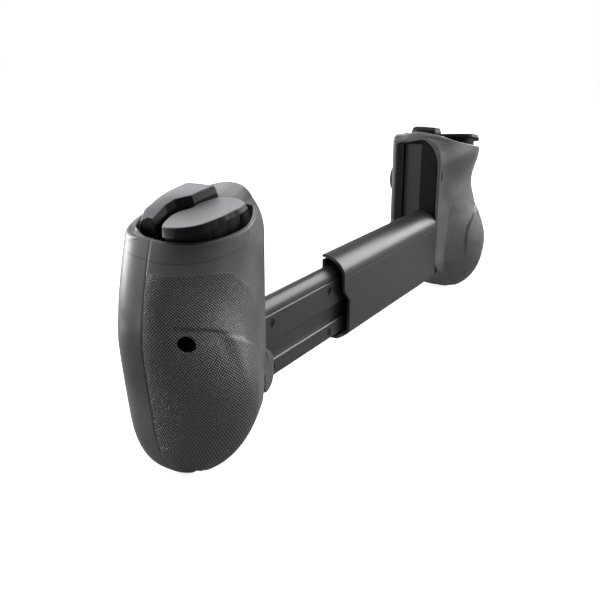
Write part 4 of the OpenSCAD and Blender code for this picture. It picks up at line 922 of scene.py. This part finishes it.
# Direction cross: a plus with rounded corners on a disc and a stem
half, arm = 9.6, 3.5
plus = [(half, -arm), (half, arm), (arm, arm), (arm, half), (-arm, half), (-arm, arm), (-half, arm), (-half, -arm),
        (-arm, -arm), (-arm, -half), (arm, -half), (arm, -arm)]
outline = round_corners(plus, 1.6) + LOWER
cross = slab(outline, -20.6, -16.2, 0.7)
foot = lathe([(0, -17.4), (9.4, -17.4), (10.2, -17.1), (10.4, -16.8), (10.4, -16), (1.6, -16), (1.6, -9.3), (0, -9.3)],
             *LOWER, 64)
piece("direction_cross", [place(cross, "left"), place(foot, "left")], "dpad_cross", ["dpad_cross"],
      [button_black])

# Sleeve of the bridge: side profile with a rounded lower edge, flat back, a fine groove at the crease and
# a quarter ellipse over the top. Its open end is set back by a step with S-shaped ends on the flat back.


def sleeve_profile(w):
    """Profile from the lower front edge to the upper one, inset by w."""
    a = np.linspace(-np.pi / 2, 0, 13)
    r = SLEEVE_ROUND - w
    low = np.stack([SLEEVE_BACK - SLEEVE_ROUND + r * np.cos(a), SLEEVE_BOTTOM + SLEEVE_ROUND + r * np.sin(a)], axis=1)
    z = np.linspace(-38.8, SLEEVE_CREASE - 0.5, 70)
    flat = np.stack([np.full_like(z, SLEEVE_BACK - w), z], axis=1)
    dip = 0.15 if w == 0 else 0.0
    mark = [(SLEEVE_BACK - w - dip, SLEEVE_CREASE - 0.15), (SLEEVE_BACK - w - dip, SLEEVE_CREASE + 0.05)]
    a = np.linspace(0.05, np.pi / 2 - 0.04, 30)
    curve = np.stack([(SLEEVE_BACK - w) * np.cos(a), SLEEVE_CREASE + (SLEEVE_TOP - SLEEVE_CREASE - w) * np.sin(a)], axis=1)
    return np.concatenate([[(0, SLEEVE_BOTTOM + w)], low, flat, mark, curve, [(0, SLEEVE_TOP - w - 0.25)]])


outer, inner = sleeve_profile(0), sleeve_profile(SLEEVE_WALL)
back_set = step((-18.5 - outer[:, 1]) / 7.5) * step((outer[:, 0] - 7) / 3.5)
end = -BAY_HALF + SLEEVE_LEN - SET_BACK * back_set
piece("bridge_sleeve", channel(outer, inner, -BAY_HALF, end, 24, 0.3), "left_half", ["sleeve"],
      [bridge_plastic])


# Rail: a cover with a guide groove and screws over a frame; both share the curved top
def rail_profile(y0, y1):
    """Profile of the rail between two depths: (outer line, inner line) from the bottom to the top."""
    a = np.linspace(0, np.pi / 2, 24)
    curve = np.stack([RAIL_FRONT + (RAIL_BACK - 0.7 - RAIL_FRONT) * np.cos(a),
                      RAIL_CREASE + (RAIL_TOP - RAIL_CREASE) * np.sin(a)], axis=1)
    face = [(RAIL_BACK - 0.5, RAIL_BOTTOM), (RAIL_BACK, RAIL_BOTTOM + 0.5), (RAIL_BACK, GUIDE_LOW - 0.4),
            (RAIL_BACK - 0.4, GUIDE_LOW + 0.05), (RAIL_BACK - GUIDE_DEPTH, GUIDE_LOW + 0.2),
            (RAIL_BACK - GUIDE_DEPTH, GUIDE_HIGH - 0.1), (RAIL_BACK - 0.4, GUIDE_HIGH), (RAIL_BACK, GUIDE_HIGH + 0.4),
            (RAIL_BACK, RAIL_CREASE - 0.35), (RAIL_BACK - 0.25, RAIL_CREASE - 0.1)]
    line = np.concatenate([face, curve])
    line = line[line[:, 0] > y0 + 0.02]
    outer = np.stack([np.minimum(line[:, 0], y1), line[:, 1]], axis=1)
    share = (y0 + 0.02 - RAIL_FRONT) / (RAIL_BACK - 0.7 - RAIL_FRONT)
    last = RAIL_CREASE + (RAIL_TOP - RAIL_CREASE) * np.sqrt(1 - share ** 2)
    outer = np.concatenate([outer, [(y0 + 0.02, last)]])
    inner = np.stack([np.full(len(outer), y0), outer[:, 1]], axis=1)
    return outer, inner


rail_start, rail_end = BAY_HALF - RAIL_LEN, BAY_HALF + WALL_T
outer, inner = rail_profile(COVER_FRONT, 99)
screws = [(BAY_HALF - x, z) for x in RAIL_SCREW_X for z in RAIL_SCREW_Z]
seats = cutter("seats", [lathe([(0, RAIL_BACK - 1), (1.75, RAIL_BACK - 1), (1.75, 9), (0, 9)], x, z, 32) for x, z in screws])
piece("rail_back", channel(outer, inner, rail_start, rail_end, 30), "right_half", ["rail_cover"],
      [bridge_plastic], cuts=[seats])
outer, inner = rail_profile(RAIL_FRONT, COVER_FRONT)
piece("rail_front", channel(outer, inner, rail_start, rail_end, 30), "right_half", ["rail_frame"],
      [bridge_plastic])


# Flat cable through the bridge, and the return spring: a reel on a post beside the left grip
# and its tape


def strip(low, high, lengths):
    """Flat bar along X between two corners: a rectangle carried along in even lengths, closed at its ends."""
    (x0, y0, z0), (x1, y1, z1) = low, high
    y, z = np.array([y0, y1, y1, y0, y0]), np.array([z0, z0, z1, z1, z0])
    x = np.linspace(x0, x1, lengths)[:, None]
    share = np.concatenate([[0], np.ones(lengths), [0]])[:, None]
    return points_at(np.concatenate([x[:1], x, x[-1:]]), (y0 + y1) / 2 + (y - (y0 + y1) / 2) * share,
                     (z0 + z1) / 2 + (z - (z0 + z1) / 2) * share)


low, high = (np.array(c) * 1000 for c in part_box("ribbon_cable"))
piece("flat_cable", [strip(low, high, 90)], "left_half", ["ribbon_cable"], [ribbon],
      stretch=("right_half", (-BAY_HALF / 1000, 0, 0), (BAY_HALF / 1000, 0, 0)))
low, high = (np.array(c) * 1000 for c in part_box("return_spring"))
reel_x, reel_y = low[0] + REEL_R, low[1] + REEL_R
reel_r = np.array([REEL_POST_R, REEL_R - TAPE_T, REEL_R - TAPE_T, REEL_POST_R, REEL_POST_R])
a = np.linspace(0, 2 * np.pi, 49)[None, :]
reel_z = np.array([low[2], low[2], high[2], high[2], low[2]])[:, None]
reel = points_at(reel_x + reel_r[:, None] * np.cos(a), reel_y + reel_r[:, None] * np.sin(a), reel_z)
piece("spring_reel", [reel], "left_half", ["return_spring"], [steel])
tape = strip((reel_x, low[1], low[2]), (high[0], low[1] + TAPE_T, high[2]), 40)
tape = piece("spring_tape", [tape], "left_half", ["return_spring"], [steel])
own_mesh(tape)


# Camera at the photograph's angle: 790 px of focal length on a 600 px frame
AZIMUTH, ELEVATION = np.radians(120.405), np.radians(18.53)
camera = bpy.data.objects.new("camera", bpy.data.cameras.new("camera"))
bpy.context.scene.collection.objects.link(camera)
camera.data.sensor_width, camera.data.lens = 36.0, 36.0 * 790 / 600
camera.data.clip_start, camera.data.clip_end = 0.01, 20.0
camera.location = (0.32332, 0.16410, 0.08896)
look = Vector((-np.sin(AZIMUTH) * np.cos(ELEVATION), np.cos(AZIMUTH) * np.cos(ELEVATION), -np.sin(ELEVATION)))
camera.rotation_euler = look.to_track_quat("-Z", "Y").to_euler()
bpy.context.scene.camera = camera

# Pale floor, white surroundings and soft lamps
scene = bpy.context.scene
scene.view_settings.view_transform = "Standard"
floor_mesh = bpy.data.meshes.new("floor")
FLOOR_Z = -0.0593
floor_mesh.from_pydata([(x, y, FLOOR_Z) for x, y in ((-4, -4), (4, -4), (4, 4), (-4, 4))], [], [(0, 1, 2, 3)])
floor = bpy.data.objects.new("floor", floor_mesh)
scene.collection.objects.link(floor)
paint = bpy.data.materials.new("pale_floor_paint")
paint.use_nodes = True
tree = paint.node_tree
tree.nodes.clear()
# the camera sees it white; the light that it throws back on the object is that of a darker floor
seen = add(tree, "LightPath").outputs["Is Camera Ray"]
tone = add(tree, "Mix", {0: seen, 6: srgb("#8c8c8c"), 7: srgb("#f2f2f2")}, data_type="RGBA").outputs[2]
glow = add(tree, "MapRange", {"Value": seen, "To Min": 0.05, "To Max": 0.8}).outputs["Result"]
bsdf = add(tree, "BsdfPrincipled", {"Base Color": tone, "Roughness": 0.9, "Emission Color": (1, 1, 1, 1),
                                    "Emission Strength": glow})
add(tree, "OutputMaterial", {"Surface": bsdf.outputs["BSDF"]})
floor_mesh.materials.append(paint)

world = bpy.data.worlds.new("studio")
scene.world = world
world.use_nodes = True
tree = world.node_tree
tree.nodes.clear()
path = add(tree, "LightPath")
seen = add(tree, "Math", {0: path.outputs["Is Camera Ray"], 1: path.outputs["Is Transmission Ray"]}, operation="MAXIMUM")
level = add(tree, "MapRange", {"Value": seen.outputs[0], "To Min": 0.22, "To Max": 1.0})
sky = add(tree, "Background", {"Color": (1, 1, 1, 1), "Strength": level.outputs["Result"]})
add(tree, "OutputWorld", {"Surface": sky.outputs["Background"]})


def softbox(name, place_at, aim, size, power):
    """Square lamp that looks at a point."""
    lamp = bpy.data.lights.new(name, "AREA")
    lamp.size, lamp.energy = size, power
    obj = bpy.data.objects.new(name, lamp)
    obj.location = place_at
    obj.rotation_euler = (Vector(aim) - Vector(place_at)).to_track_quat("-Z", "Y").to_euler()
    obj.visible_camera = False
    scene.collection.objects.link(obj)


softbox("key_softbox", (-0.5, -0.55, 0.5), (0.1, 0, 0.02), 0.6, 2.2)
softbox("far_softbox", (-0.85, 0.4, 0.45), (0, 0, 0), 0.7, 9.5)
softbox("front_softbox", (0.25, -0.8, 0.15), (0.1, 0, -0.02), 0.5, 9.0)
softbox("back_softbox", (-0.45, 0.8, 0.2), (0.05, 0, -0.02), 0.5, 2.4)
softbox("top_softbox", (0.1, 0.15, 0.8), (0, 0, 0), 0.5, 2.0)
